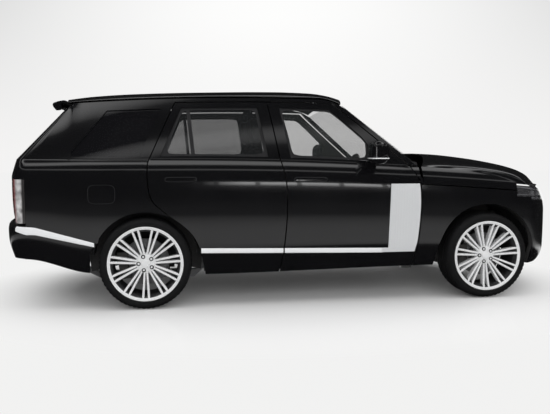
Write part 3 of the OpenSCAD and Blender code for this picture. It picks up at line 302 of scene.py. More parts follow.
    def front_x(self, k, d, s):
        """Lengths of the front door's columns at a level, inset d, hinge side s."""
        a, b = self.on_line(self.lead_line, self.x_lead, k), self.on_line(self.split_line, self.x_split, k)
        g, edge = self.g, self.x_fa - 1056
        back = (g + d) / 0.639 if k > 1 else g + lerp(s, d / 0.639, max(0, (k - 0.94) / 0.06))
        w1 = min(edge, self.a_line(self.height(edge, k) + (20 if k > 1 else -900)) - 150)
        w0 = b + 94
        return [b + g + d, w0, lerp(w0, w1, 0.33), lerp(w0, w1, 0.67), min(w1, a - back - 34), a - back]

    def rear_x(self, k, d, s):
        """Lengths of the rear door's columns at a level, inset d, hinge side s."""
        a, b = self.on_line(self.split_line, self.x_split, k), self.on_line(self.rear_line, self.x_ra, k) + 1
        w1, w0 = a - 94, b - 1 + (76 if k > 1 else lerp(40, 76, max(0, (k - 0.9) / 0.1)))
        return [b + self.g + d, w0, lerp(w0, w1, 0.33), lerp(w0, w1, 0.67), w1, a - self.g - (d if k > 0.96 else s)]

    def roof_z(self, x):
        """Height of the roof's middle."""
        r, f = self.x_rear, self.x_fa
        return self.roof - curve([(r + 440, 112), (r + 740, 62), (r + 1100, 34), (r + 1700, 12), (f - 1760, 0),
                                  (f - 1500, 7), (f - 1330, 28), (f - 1170, 64)], x)

    def roof_pt(self, t, q):
        """Point of the roof, t from the rear forward, q across."""
        x = lerp(self.x_roof_r - 40 * (1 - q * q), self.x_roof_f + 80 * (1 - q * q), t)
        z0 = self.rail_z(x) + 13
        return np.array((x, q * (self.rail_y(x) - 1),
                         z0 + (self.roof_z(x) - z0) * max(0, 1 - abs(q) ** 3.2) ** 0.85))

    def crease(self, x):
        """Line between wing and bonnet."""
        return lerp(self.sill(x), self.belt(x), self.v_crease)

    def hood_side(self, s, c):
        """Side of the bonnet, s from the rear forward, c from the crease up."""
        x = lerp(self.x_hood_r, self.x_hood_f, s)
        v1 = lerp(1, self.v_lamp + 0.012, s ** 5)
        return self.low(self.at_x(x), lerp(self.level(x, self.crease(x) + self.g), v1, c))

    def hood_top(self, s, q):
        """Top of the bonnet, q across from 0 in the middle to 1 at the side."""
        if q >= 1:
            return self.hood_side(s, 1)
        if q > 0.93:
            return lerp(self.hood_top(s, 0.93), self.hood_side(s, 1), (q - 0.93) / 0.07)
        b = self.hood_side(s, 1)
        a = 86 * abs(q) ** 0.9
        edge = self.low(self.nose(a), lerp(0.935, self.v_lamp + 0.012, (a / 90) ** 2))
        cowl = np.array((self.x_hood_r + 235 * (1 - q * q), q * self.hood_side(0, 1)[1]))
        u = lerp(cowl, edge[:2], s)
        tip = self.low(self.nose(0), 0.935)
        f, z = self.x_fa, self.belt_z
        zc = curve([(f - 380, z + 49), (f - 210, z + 41), (f + 90, z + 8), (f + 390, z - 44), (f + 590, z - 97),
                    (f + 690, z - 146), (f + 750, z - 208), (f + 790, tip[2])], lerp(self.x_hood_r + 235, tip[0], s))
        return np.array((u[0], u[1], edge[2] if s >= 1 else lerp(b[2], zc, 1 - abs(q) ** 2.6)))

    def gate_pt(self, l, a):
        """Point of the upper tailgate, level l, a degrees round."""
        s, q, t = self.tail(abs(a)), a / self.a_gate, max(0, l - 1)
        z = lerp(self.lid_split + self.g, self.belt_z, min(1, (l - 0.78) / 0.22))
        b = self.low(s, self.level(s[0], z))
        top = np.array((self.x_roof_r - 12 - 40 * (1 - q * q), q * (self.half_w - 354),
                        self.rail_z(self.x_roof_r) - 24 + 34 * (1 - q * q)))
        return lerp(np.array((b[0], math.copysign(b[1], a), z)), top, t)

    def lid_pt(self, k, a):
        """Point of the lower tailgate, k from 0 at its hinge to 1 at the top, a degrees round."""
        b = self.low(self.tail(abs(a)), curve([(0, 0.358), (0.2, 0.428), (0.4, 0.5), (0.6, 0.577), (0.8, 0.68),
                                               (1, 0.767)], k))
        return np.array((b[0], math.copysign(b[1], a), lerp(self.lid_z0, self.lid_split - self.g, k)))

    def arch_z(self, x, c, r):
        """Height of a wheel arch's edge."""
        return self.tyre_r + math.sqrt(max(0, r * r - (x - c) ** 2))

    def bumper_top(self, x):
        """Line between rear bumper and side panel."""
        return 548 + (self.x_ra - 390 - x) * 0.29

    def lamp_line(self, d):
        """Line between front bumper and wing, d ahead of the axle."""
        return lerp(712, self.lamp_z0 - 2, (d - 318) / 96)

    def wing_foot(self, d):
        """Lower edge of the wing, d ahead of the axle."""
        if d < -480:
            return 0
        if d > 320:
            return self.lamp_line(d) + 2
        return self.tyre_r + curve([(-481, -110), (-474, -40), (-452, 78), (-420, 160), (-375, 248), (-310, 328),
                                    (-239, 386), (-150, 427), (-50, 449), (50, 449), (150, 427), (219, 396),
                                    (330, 309)], d)


class Sock:
    """A shader socket that takes Python arithmetic."""

    def __init__(self, mat, socket):
        self.mat, self.socket = mat, socket

    def _math(self, op, a, b=0.0):
        return self.mat.node("ShaderNodeMath", {"operation": op}, {0: a, 1: b})

    def __add__(self, o): return self._math("ADD", self, o)
    def __radd__(self, o): return self._math("ADD", o, self)
    def __sub__(self, o): return self._math("SUBTRACT", self, o)
    def __rsub__(self, o): return self._math("SUBTRACT", o, self)
    def __mul__(self, o): return self._math("MULTIPLY", self, o)
    def __rmul__(self, o): return self._math("MULTIPLY", o, self)
    def __truediv__(self, o): return self._math("DIVIDE", self, o)
    def __pow__(self, o): return self._math("POWER", self, o)
    def above(self, o): return self._math("GREATER_THAN", self, o)
    def clamped(self): return self.mat.node("ShaderNodeClamp", {}, {"Value": self})

    def mix(self, a, b):
        """Colour a where this is 0, b where it is 1."""
        return self.mat.node("ShaderNodeMix", {"data_type": "RGBA"}, {0: self, 6: a, 7: b}, 2)


class Shade:
    """A node tree of a material or world, filled by expressions."""

    def __init__(self, owner):
        owner.use_nodes = True
        self.tree = owner.node_tree
        self.tree.nodes.clear()

    def node(self, kind, settings, values, out=0):
        """Adds a node: settings first, then socket values and links; returns one output."""
        n = self.tree.nodes.new(kind)
        for key, value in settings.items():
            setattr(n, key, value)
        for key, value in values.items():
            if isinstance(value, Sock):
                self.tree.links.new(value.socket, n.inputs[key])
            else:
                n.inputs[key].default_value = value
        return Sock(self, n.outputs[out]) if n.outputs else None

    def place(self):
        """Position in the object's own frame."""
        return self.node("ShaderNodeTexCoord", {}, {}, 3)

    def axis(self, k):
        """One coordinate of the position."""
        return self.node("ShaderNodeSeparateXYZ", {}, {0: self.place()}, k)

    def noise(self, scale, detail=3.0, rough=0.5):
        """Soft noise between 0 and 1."""
        return self.node("ShaderNodeTexNoise", {}, {"Vector": self.place(), "Scale": scale, "Detail": detail,
                                                    "Roughness": rough})

    def cells(self, scale):
        """Distance to the nearest cell's middle."""
        return self.node("ShaderNodeTexVoronoi", {}, {"Vector": self.place(), "Scale": scale})

    def bump(self, height, strength, distance):
        """Normal of a height."""
        return self.node("ShaderNodeBump", {}, {"Height": height, "Strength": strength, "Distance": distance})

    def surface(self, **values):
        """Ends the tree in one principled surface."""
        named = {k.replace("_", " ").title().replace("Ior", "IOR"): v for k, v in values.items()}
        s = self.node("ShaderNodeBsdfPrincipled", {}, named)
        self.node("ShaderNodeOutputMaterial", {}, {"Surface": s})


def rgba(c, k=1.0):
    """Colour for a socket, made darker or lighter by k."""
    return (c[0] * k, c[1] * k, c[2] * k, 1.0)


def look(tones, blend, rough, by=None, relief=None, **rest):
    """Maker of a finish: two tones blended by a pattern, uneven roughness and a fine relief.

    A tone is a colour, or the name of a sidebar colour with a factor. A pattern is a noise's
    scale and detail, or the scale of cells alone.
    """
    def make(s, c):
        made = {}
        def pattern(key):
            if key not in made:
                made[key] = s.noise(*key) if len(key) == 2 else s.cells(*key)
            return made[key]
        def tone(t):
            return rgba(getattr(c, t[0]), t[1]) if isinstance(t[0], str) else rgba(t)
        extra = {"normal": s.bump(pattern(relief[0]), *relief[1:])} if relief else {}
        s.surface(base_color=pattern(blend).mix(*map(tone, tones)),
                  roughness=rough[0] + pattern(by or blend) * rough[1], **rest, **extra)
    return make


def glass(tone, alpha):
    """Maker of a tinted glass."""
    return look((tone, tuple(1.15 * t for t in tone)), (2.5, 3.0), (0.01, 0.01), alpha=alpha, coat_weight=1.0,
                coat_roughness=0.0)


def red_look(s, _colours):
    """Tail lamp: dark at its front edge, pale clear cover, faintly red towards the back, with fine flutes."""
    flute = s.node("ShaderNodeMath", {"operation": "SINE"}, {0: s.axis(2) * 900.0})
    back, edge = ((-2.29 - s.axis(0)) * 40.0).clamped(), ((s.axis(0) + 2.256) * 80.0).clamped()
    inside = s.noise(16.0, 2.0) * 2.2 - 0.6
    pale = inside.clamped().mix((0.07, 0.065, 0.065, 1), (0.66, 0.65, 0.65, 1))
    tone = edge.mix(back.mix(pale, (0.2, 0.05, 0.05, 1)), (0.03, 0.028, 0.028, 1))
    s.surface(base_color=tone, roughness=0.08 + s.noise(6.0) * 0.05, coat_weight=1.0,
              normal=s.bump(flute, 0.2, 0.0008))


LOOKS = {
    # Gloss paint under clear coat with faint orange peel
    "paint": look((("paint", 1), ("paint", 1.5)), (3.0, 3.0), (0.1, 0.05), None, ((90.0, 2.0), 0.015, 0.0004),
                  coat_weight=1.0, coat_roughness=0.02),
    # Satin plastic with a moulded grain, and softer inner panels
    "trim": look((("trim", 1), ("trim", 1.6)), (6.0, 3.0), (0.45, 0.15), (20.0, 3.0), ((900.0,), 0.15, 0.0006)),
    "inner": look(((0.02, 0.019, 0.018), (0.034, 0.032, 0.03)), (4.0, 3.0), (0.5, 0.2), (420.0,),
                  ((420.0,), 0.25, 0.0008)),
    # Brushed silver, polished strips, machined wheels, and a dark finish that paints the shade in the wheels' recesses
    "silver": look((("silver", 0.9), ("silver", 1.1)), (260.0, 2.0), (0.3, 0.1), None,
                   ((260.0, 2.0), 0.05, 0.0003), metallic=0.1),
    "bright": look((("bright", 0.95), ("bright", 1)), (40.0, 3.0), (0.16, 0.08), metallic=0.05),
    "alloy": look((("alloy", 1), ("alloy", 0.86)), (14.0, 3.0), (0.22, 0.1), None, ((500.0, 2.0), 0.03, 0.0003),
                  metallic=0.15, coat_weight=0.4),
    # Dark metal standing for the shade in the wheels' recesses: painted shade, not a darker finish of the metal
    "pocket": look(((0.03, 0.03, 0.032), (0.06, 0.06, 0.062)), (30.0, 3.0), (0.4, 0.1), (50.0, 3.0), metallic=0.6),
    # Turned steel, cast metal with road grime and coated sheet below the cabin
    "steel": look(((0.3, 0.3, 0.31), (0.46, 0.46, 0.47)), (60.0, 4.0), (0.3, 0.2), None,
                  ((60.0, 4.0), 0.1, 0.0005), metallic=0.9),
    "iron": look(((0.05, 0.05, 0.052), (0.1, 0.095, 0.09)), (8.0, 3.0), (0.6, 0.25), (120.0, 5.0),
                 ((120.0, 5.0), 0.3, 0.0015), metallic=0.35),
    "under": look(((0.02, 0.02, 0.021), (0.045, 0.044, 0.043)), (70.0, 4.0), (0.75, 0.15), None,
                  ((70.0, 4.0), 0.25, 0.001)),
    # Dusty tyre rubber and fine-grained leather
    "rubber": look((("rubber", 1), ("rubber", 1.9)), (11.0, 3.0), (0.55, 0.2), None, ((240.0, 3.0), 0.15, 0.0006)),
    "leather": look((("leather", 1), ("leather", 1.7)), (5.0, 3.0), (0.42, 0.2), (520.0,), ((520.0,), 0.3, 0.0008)),
    # Lamps: clear cover, dark chrome bowl and pale light guide
    "red": red_look,
    "lens": look(((0.06, 0.06, 0.065), (0.1, 0.1, 0.105)), (5.0, 3.0), (0.02, 0.01), alpha=0.3, coat_weight=1.0),
    "bowl": look(((0.02, 0.02, 0.021), (0.05, 0.05, 0.052)), (30.0, 3.0), (0.18, 0.1), metallic=0.6),
    "glow": look(((0.2, 0.2, 0.21), (0.3, 0.3, 0.31)), (60.0, 3.0), (0.15, 0.1)),
    # Switched-off display and the panes
    "screen": look(((0.004, 0.004, 0.005), (0.01, 0.01, 0.012)), (8.0, 3.0), (0.06, 0.03), coat_weight=1.0),
    "clear_glass": glass((0.05, 0.055, 0.055), 0.2),
    "mid_glass": glass((0.02, 0.021, 0.022), 0.42),
    "dark_glass": glass((0.006, 0.006, 0.007), 0.82),
}
FINISHES = {}


def finish_of(name):
    """The material of that name, made once."""
    if name not in FINISHES:
        FINISHES[name] = bpy.data.materials.new(name)
        LOOKS[name](Shade(FINISHES[name]), bpy.context.scene.suv_colours)
    return FINISHES[name]


def put(name, part, looks, body, nodes, slot, sharp=32, bevel=0.0):
    """Adds a part (points in millimetres, faces, picks of finishes) on a body, standing for CAD nodes."""
    verts, faces, picks = part
    mesh = bpy.data.meshes.new(name)
    mesh.from_pydata([tuple(float(c) * MM for c in v) for v in verts], [], [tuple(map(int, f)) for f in faces])
    mesh.validate()
    obj = bpy.data.objects.new(name, mesh)
    bpy.context.scene.collection.objects.link(obj)
    for finish in looks:
        mesh.materials.append(finish_of(finish))
    if len(picks) == len(mesh.polygons):
        mesh.polygons.foreach_set("material_index", np.minimum(picks, len(looks) - 1).astype(np.int32))
    mesh.polygons.foreach_set("use_smooth", np.ones(len(mesh.polygons), dtype=bool))
    mesh.set_sharp_from_angle(angle=math.radians(sharp))
    if bevel:
        m = obj.modifiers.new("edge", "BEVEL")
        m.width, m.segments, m.limit_method, m.angle_limit = bevel * MM, 2, "ANGLE", math.radians(40)
        m.harden_normals = False
    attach(obj, body)
    if nodes:
        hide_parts(*nodes)
    return obj


def mirrored(part, k):
    """The left-hand part as it is, or its mirror image for the right."""
    if k > 0:
        return part
    return [(v[0], -v[1], v[2]) for v in part[0]], [tuple(reversed(f)) for f in part[1]], part[2]


def joined(parts):
    """Several parts as one."""
    verts, faces, picks = [], [], []
    for v, f, p in parts:
        o = len(verts)
        verts += list(v)
        faces += [tuple(k + o for k in q) for q in f]
        picks += list(p)
    return verts, faces, picks


def pair(*parts):
    """Left-hand parts with their mirror images as one part."""
    return joined([mirrored(p, k) for _, k in SIDES for p in parts])


def picked(part, pick):
    """Part with one finish all over."""
    return part[0], part[1], [pick] * len(part[1])


def sample(point, n, m, nu, nv):
    """Grid of a surface over n by m coarse cells, each split nu by nv."""
    return np.array([[point(i / nu, j / nv) for j in range(m * nv + 1)] for i in range(n * nu + 1)])


def inward(grid, t):
    """The grid moved in by t along its own normals."""
    nrm = np.cross(np.gradient(grid, axis=0), np.gradient(grid, axis=1))
    return grid - t * nrm / np.maximum(np.linalg.norm(nrm, axis=2, keepdims=True), 1e-9)


def facing(turn, sign=1):
    """Level direction faced at a turn from straight ahead."""
    return np.array((cos(turn), sign * sin(turn), 0))


def set_in(grid, turns, depth, signs=None):
    """The grid, its outer sheet's back and its inner face, set in against the way the columns face."""
    ways = np.array([facing(*t) for t in zip(turns, signs or [1] * len(turns))])[None]
    return [grid, grid - SHEET * ways, grid - depth * ways]


def bent(value, power):
    """Power of a value that keeps its sign."""
    return math.copysign(abs(value) ** power, value)


def dome(u):
    """Crown of a strip across its width."""
    return math.sqrt(max(0, 1 - (2 * u - 1) ** 4))


def flipped(p, k):
    """Left-hand point, or its mirror image where k is negative."""
    return np.array((p[0], k * p[1], p[2]))


def shell(layers, keep=None, split=(1, 1)):
    """Closed skin between grids: the first faces out, the last in. Cells that keep refuses stay open."""
    n, m = layers[0].shape[0] - 1, layers[0].shape[1] - 1
    w, o = m + 1, (n + 1) * (m + 1)
    last = (len(layers) - 1) * o
    def on(i, j):
        return 0 <= i < n and 0 <= j < m and (keep is None or keep(i // split[0], j // split[1]))
    faces, picks = [], []
    def rim(a, b):
        for t in range(len(layers) - 1):
            faces.append((t * o + a, t * o + b, (t + 1) * o + b, (t + 1) * o + a))
            picks.append(min(t, 1))
    for i in range(n):
        for j in range(m):
            if not on(i, j):
                continue
            a, b, c, d = i * w + j, (i + 1) * w + j, (i + 1) * w + j + 1, i * w + j + 1
            faces.append((a, b, c, d))
            faces.append((last + a, last + d, last + c, last + b))
            picks.extend((0, 1))
            for di, dj, p, q in ((-1, 0, a, d), (1, 0, c, b), (0, -1, b, a), (0, 1, d, c)):
                if not on(i + di, j + dj):
                    rim(p, q)
    points = np.concatenate([g.reshape(-1, 3) for g in layers])
    used = sorted({k for f in faces for k in f})
    index = {k: i for i, k in enumerate(used)}
    return [points[k] for k in used], [tuple(index[k] for k in f) for f in faces], picks


def loft(rings, pick=0, closed=False):
    """Skin through rings of points: capped at both ends, or closed with the last ring joined to the first."""
    n, m = len(rings), len(rings[0])
    verts = [p for r in rings for p in r]
    faces = [(i * m + k, i * m + (k + 1) % m, (i + 1) % n * m + (k + 1) % m, (i + 1) % n * m + k)
             for i in range(n if closed else n - 1) for k in range(m)]
    if not closed:
        faces += [tuple(range(m - 1, -1, -1)), tuple((n - 1) * m + k for k in range(m))]
    return verts, faces, [pick] * len(faces)


def turned(profile, steps, pick=0):
    """Profile of (radius, along) turned about the local z axis."""
    rings = [[(r * cos(360 * k / steps), r * sin(360 * k / steps), z) for r, z in profile[::-1]]
             for k in range(steps)]
    return loft(rings, pick, True)


def moved(part, shift):
    """Part shifted by a vector."""
    return [tuple(a + b for a, b in zip(q, shift)) for q in part[0]], part[1], part[2]


def swung(part, place, *spins):
    """Part turned by degrees about axes, the last spin first, and put in place."""
    rot = Matrix()
    for axis, angle in spins:
        rot = rot @ Matrix.Rotation(math.radians(angle), 4, axis)
    return [tuple(rot @ Vector(q) + Vector(place)) for q in part[0]], part[1], part[2]


def rounded_box(lo, hi, r, pick=0):
    """Box with rounded edges."""
    mid, half = [(a + b) / 2 for a, b in zip(lo, hi)], [(b - a) / 2 for a, b in zip(lo, hi)]
    turns = (0, 30, 60, 90)
    levels = [(r * (1 - cos(a)) - half[2], r * sin(a)) for a in turns]
    levels += [(-z, d) for z, d in reversed(levels)]
    corners = ((1, 1, 0), (-1, 1, 90), (-1, -1, 180), (1, -1, 270))
    rings = [[(mid[0] + sx * (half[0] - r) + d * cos(q + a), mid[1] + sy * (half[1] - r) + d * sin(q + a), mid[2] + z)
              for sx, sy, q in corners for a in turns] for z, d in levels]
    return loft(rings, pick)


def oval(form, mid, half, powers, out, n):
    """Ring on the body's side: a squared-off oval about a length and height, moved outwards."""
    return [form.skin(mid[0] + half[0] * bent(cos(360 * k / n), powers[0]),
                      mid[1] + half[1] * bent(sin(360 * k / n), powers[1]), out) for k in range(n)]


def make_doors(form):
    """Doors with window frames, inner panels, glass, seals, handles and lower strips."""
    for end, cols, tint_name, glass_slot in (("front", form.front_x, "clear_glass", "clear_glass"),
                                             ("rear", form.rear_x, "mid_glass", "dark_glass")):
        skin, pane = door_skin(form, cols), door_pane(form, cols)
        trims = [("seal_", seal(form, cols), ("trim",), "dark_trim")]
        if end == "rear":
            trims.append(("divider_", divider(form), ("trim",), "dark_trim"))
        trims.append(("handle_", handle(form, end), ("paint", "trim"), "black_paint"))
        trims.append(("strip_", door_strip(form, end), ("bright",), "silver"))
        for side, k in SIDES:
            body = "door_%s_%s" % (end, side)
            put("panel_" + body, mirrored(skin, k), ("paint", "inner"), body, (body,), "black_paint", bevel=EDGE)
            put("pane_" + body, mirrored(pane, k), (tint_name,), body, ("glass_%s_%s" % (end, side),), glass_slot)
            for name, part, looks, slot in trims:
                put(name + body, mirrored(part, k), looks, body, (), slot)


def door_skin(form, cols):
    """Door shell round its window: outer sheet, edges stepped in, inner panel."""
    rows = [0, 0.05, 0.12, 0.2, 0.28, 0.35, 0.42, 0.47, 0.51, 0.55, 0.59, 0.64, 0.72, 0.8, 0.84, 0.9, 0.95, 1,
            form.win_lo, 1.3, 1.57, form.win_hi, 3]
    n, step, hinge = len(rows) - 1, 20, 92
    def surface(d, s, depth):
        def row_level(x, l):
            return form.top_level(x, d) if l == 3 else d / 1000 if l == 0 else l
        def point(u, v):
            i = min(int(u), n - 1)
            t = u - i
            x = along(cols(lerp(rows[i], min(rows[i + 1], 1.93), t), d, s), v)
            k = lerp(row_level(x, rows[i]), row_level(x, rows[i + 1]), t)
            p = form.wall(x, k)
            if depth is None:
                p[1] = form.at_x(x)[1] - form.depth if k < 0.93 else p[1] - 38
            else:
                p[1] -= depth
            return p
        return sample(point, n, 5, 2, 5)
    grids = [surface(0, 0, 0), surface(0, 0, 6), surface(step, hinge, 6), surface(step, hinge, None)]
    return shell(grids, lambda i, j: not (18 <= i < 21 and 1 <= j < 4), (2, 5))


def door_pane(form, cols):
    """Pane in a door's window frame."""
    def point(u, w):
        l = along([form.win_lo + 0.001, 1.3, 1.57, form.win_hi - 0.001], u)
        xs = cols(l, 0, 0)
        return form.wall(along([xs[1] + 0.4, xs[2], xs[3], xs[4] - 0.4], w), l) - np.array((0, 12, 0))
    g = sample(point, 3, 3, 6, 8)
    return shell([g, g - PANE])


def seal(form, cols):
    """Dark band round a window that rounds its corners."""
    margin, thick, steps = 0.045, np.array((0, 2.4, 0)), 12
    def at(u, w):
        l = lerp(form.win_lo + 0.0015, form.win_hi - 0.0015, w)
        xs = cols(l, 0, 0)
        return form.wall(lerp(xs[1] + 0.6, xs[4] - 0.6, u), l) - np.array((0, 9, 0))
    ts = [k / steps for k in range(steps)]
    loop = [(t, 0) for t in ts] + [(1, t) for t in ts] + [(1 - t, 1) for t in ts] + [(0, 1 - t) for t in ts]
    outer, inner = [], []
    for u, w in loop:
        cu, cw = 2 * u - 1, 2 * w - 1
        size = (abs(cu) ** 14 + abs(cw) ** 14) ** (1 / 14)
        outer.append(at(u, w))
        inner.append(at(0.5 + cu / size * (0.5 - margin * 0.7), 0.5 + cw / size * (0.5 - margin)))
    return loft([outer, inner, [q - thick for q in inner], [q - thick for q in outer]], closed=True)


def divider(form):
    """Dark upright between the rear door's main pane and its small fixed pane."""
    rings = []
    for i in range(13):
        z = lerp(form.height(form.x_ra, form.win_lo) - 4, 1676, i / 12)
        x = form.x_ra + 394 - (z - 1208) * 0.097
        rings.append([form.skin(x + dx, z, out) for dx, out in ((-15, -8.6), (15, -8.6), (15, -11.4), (-15, -11.4))])
    return loft(rings)


def handle(form, end):
    """Flush bar handle in its recess."""
    x, z, hx, hz = (form.x_split + 196, 1044, 134, 14) if end == "front" else (form.x_ra + 288, 1049, 122, 15)
    parts = []
    for grow, out, pick in ((6, 0.6, 1), (0, 5.0, 0)):
        rings = [oval(form, (x, z), (hx + grow - (1 - s) * 14, (hz + grow) * s), (0.25, 0.6), d, 20)[::-1]
                 for s, d in ((1.0, -4.0), (1.0, out * 0.7), (0.9, out), (0.0, out + 0.6))]
        parts.append(loft(rings, pick))
    return joined(parts)


def door_strip(form, end):
    """Bright strip along the lower door."""
    split = form.split_line(470)
    x0, x1 = (split + form.g + 2, form.x_lead - 336) if end == "front" else (form.x_ra + 446, split - form.g - 2)
    def grid(low, crown):
        def point(u, v):
            x = lerp(x0, x1, v)
            z = lerp(470, 441, (x - (form.x_ra + 461)) / 1522) + lerp(-20, 20, u)
            return form.skin(x, z, low + crown * dome(u))
        return sample(point, 1, 1, 8, 40)
    return shell([grid(1.0, 5), grid(0.4, 0)])


def make_quarters(form):
    """Rear side panels with their panes, and the shut line of the filler flap."""
    fan_a = [form.a_gate + 0.08, 20, 26, 34, 46, 60, 75, 89.85]
    x0, c = form.x_fan, form.c_tail[0]
    fan_x = [c - 0.4, c + 4, lerp(c, x0, 0.35), lerp(c, x0, 0.7), x0]
    corner, fan = len(fan_a) - 1, len(fan_a) + len(fan_x) - 2
    rows = [0, 0.07, 0.15, 0.24, 0.38, 0.55, 0.7, 0.82, 0.9, 0.96, 1, form.win_lo, 1.35, 1.65, form.win_hi, 2]
    foot_x = [form.x_ra - d for d in (440, 372, 320, 230, 110)]
    def lifted(x, z0, l):
        return l if l >= 1 else lerp(form.level(x, z0), 1, l)
    def window(l):
        if l <= 1:
            return form.x_ra - 600, form.x_ra - 60
        return (lerp(form.x_ra - 600, form.x_ra - 300, (l - form.win_lo) / (form.win_hi - form.win_lo)),
                form.on_line(form.rear_line, form.x_ra, l) - 90)
    def columns(l):
        w = window(l)
        edge = form.on_line(form.rear_line, form.x_ra, l) if l > 1 else form.rear_line(lerp(750, form.belt_z, l))
        xs = [lerp(w[0], w[1], k / 4) if l > 1 else
              lerp(foot_x[k], lerp(w[0], w[1], k / 4), max(0, (l - 0.9) / 0.1)) for k in range(5)]
        return [x0] + xs + [edge - form.g]
    def station(v):
        return form.tail(along(fan_a, v)) if v <= corner else form.at_x(along(fan_x, v - corner))
    def point(u, v):
        l = along(rows, u)
        if v <= fan:
            s = station(v)
            k = lifted(s[0], form.lamp_top if v <= corner else form.bumper_top(s[0]), l)
            t, h = 1 - v / fan, max(0, k - 1)
            top = np.array((lerp(x0, form.x_rear + 574, t), lerp(form.rail_y(x0), form.half_w - 346, t),
                            lerp(form.rail_z(x0), form.rail_z(x0) - 24, t)))
            return lerp(form.low(s, min(k, 1)), top, h) + np.array((0, 40 * h * (1 - h), 0))
        x = along(columns(l), v - fan)
        arch = form.arch_z(x, form.x_ra, form.arch_r) if x > form.x_ra - 372 else form.bumper_top(x)
        return form.wall(x, lifted(x, 750 if v >= fan + 6 else arch, l))
    g = sample(point, len(rows) - 1, fan + 6, 3, 4)
    turns = [station(j / 4)[2] if j <= 4 * fan else 90 for j in range(g.shape[1])]
    skin = shell(set_in(g, turns, 40), lambda i, j: not (11 <= i < 14 and fan < j < fan + 5), (3, 4))
    def pane(u, w):
        l = along([form.win_lo + 0.001, 1.35, 1.65, form.win_hi - 0.001], u)
        a, b = window(l)
        return form.wall(lerp(a + 0.4, b - 0.4, w / 4), l) - np.array((0, 10, 0))
    q = sample(pane, 3, 4, 6, 5)
    put("pane_quarter", pair(shell([q, q - PANE])), ("dark_glass",), "body", ("quarter_glasses",), "dark_glass")
    flap, half = (form.x_ra - 334, 935), (106, 76)
    rings = [oval(form, flap, (half[0] * r, half[1] * r), (0.45, 0.45), out, 48)
             for r, out in ((1.0, 0.4), (1.0, 1.0), (0.955, 1.0), (0.955, 0.4))]
    for side, k in SIDES:
        put("panel_quarter_" + side, mirrored(skin, k), ("paint", "inner"), "body", ("rear_quarter_" + side,),
            "black_paint", bevel=EDGE)
        if side == "right":
            put("flap_line_" + side, mirrored(loft(rings, closed=True), k), ("trim",), "body", (), "dark_trim")


def make_wings(form):
    """Front wings over the wheel arches."""
    ds = [-486, -474, -452, -420, -375, -310, -239, -150, -50, 50, 150, 219, 264, 266, 300, 318, 322, 350, 380, 405]
    xs = [form.x_lead, form.x_lead + 60] + [form.x_fa + d for d in ds]
    def point(u, v):
        x = along(xs, v)
        head = form.crease(x) - form.g - 2 if x < form.lamp_x0 - 3 else form.lamp_z0 - 0.4
        foot = max(0, form.level(x, form.wing_foot(x - form.x_fa)))
        k = lerp(foot, form.level(x, head), along([0, 0.1, 0.22, 0.36, 0.5, 0.65, 0.82, 1], u))
        if v < 1:
            x = lerp(form.lead_line(form.height(x, k)) + form.g + 1.5, form.x_lead + 60, v)
        return form.low(form.at_x(x), k)
    g = sample(point, 7, len(xs) - 1, 4, 4)
    turns = [form.at_x(along(xs, j / 4))[2] for j in range(g.shape[1])]
    put("panel_wings", pair(shell(set_in(g, turns, 28))), ("paint", "inner"), "body", ("front_wings",), "black_paint",
        bevel=EDGE)


def make_roof(form):
    """Roof panel."""
    ts = [0, 0.12, 0.25, 0.4, 0.55, 0.7, 0.82, 0.9, 0.95, 1]
    qs = [-1, -0.97, -0.9, -0.75, -0.5, -0.25, 0, 0.25, 0.5, 0.75, 0.9, 0.97, 1]
    g = sample(lambda u, w: form.roof_pt(along(ts, u), along(qs, w)), 9, 12, 5, 4)
    low = g.copy()
    low[:, :, 1] *= 0.955
    low[:, :, 2] = np.maximum(g[:, :, 2] - 26, np.array([[form.rail_z(x) + 3 for x in r] for r in g[:, :, 0]]))
    put("panel_roof", shell([g, low]), ("paint", "inner"), "body", ("roof_panel",), "black_paint")


def make_bands(form):
    """Smooth covers of the windscreen pillars and the roof's side rails."""
    x_end = form.on_line(form.rear_line, form.x_ra, 1.95)
    xs = [x_end - form.g + 2] + [lerp(x_end + 60, form.x_fa - 1330, k / 11) for k in range(12)]
    zs = [1640, 1560, 1460, 1350, 1250, 1165]
    def point(u, v):
        t = u / 2
        if v <= 12:
            x = along(xs, v)
            return form.wall(x, lerp(form.top_level(x, -2 * form.g), form.level(x, form.rail_z(x)), t))
        def post(z):
            return form.skin(lerp(form.a_line(z) - 62 + form.g / 0.639, form.a_line(z), t), z)
        return lerp(point(u, 12), post(zs[0]), v - 12) if v <= 13 else post(along(zs, v - 13))
    g = sample(point, 2, 18, 4, 4)
    skin = shell([g + np.array((0, 0.8, 0)), g - np.array((0, 4, 0))])
    for side, k in SIDES:
        put("band_" + side, mirrored(skin, k), ("paint",), "body", (), "black_paint")


def make_bonnet(form):
    """Bonnet with its wrapped sides."""
    ss = [0, 0.12, 0.3, 0.5, 0.68, 0.8, 0.88, 0.94, 0.975, 1]
    def point(u, v):
        w, k = (v, -1) if v <= 8 else (16 - v, 1)
        s = along(ss, u)
        if w <= 3:
            return flipped(form.hood_side(s, along([0, 0.4, 0.75, 1], w)), k)
        return flipped(form.hood_top(s, along([1, 0.93, 0.8, 0.6, 0.35, 0], w - 3)), k)
    g = sample(point, 9, 16, 5, 4)
    put("panel_bonnet", shell([g, inward(g, 11)]), ("paint", "under"), "bonnet", ("bonnet",), "black_paint", bevel=EDGE,
        sharp=40)


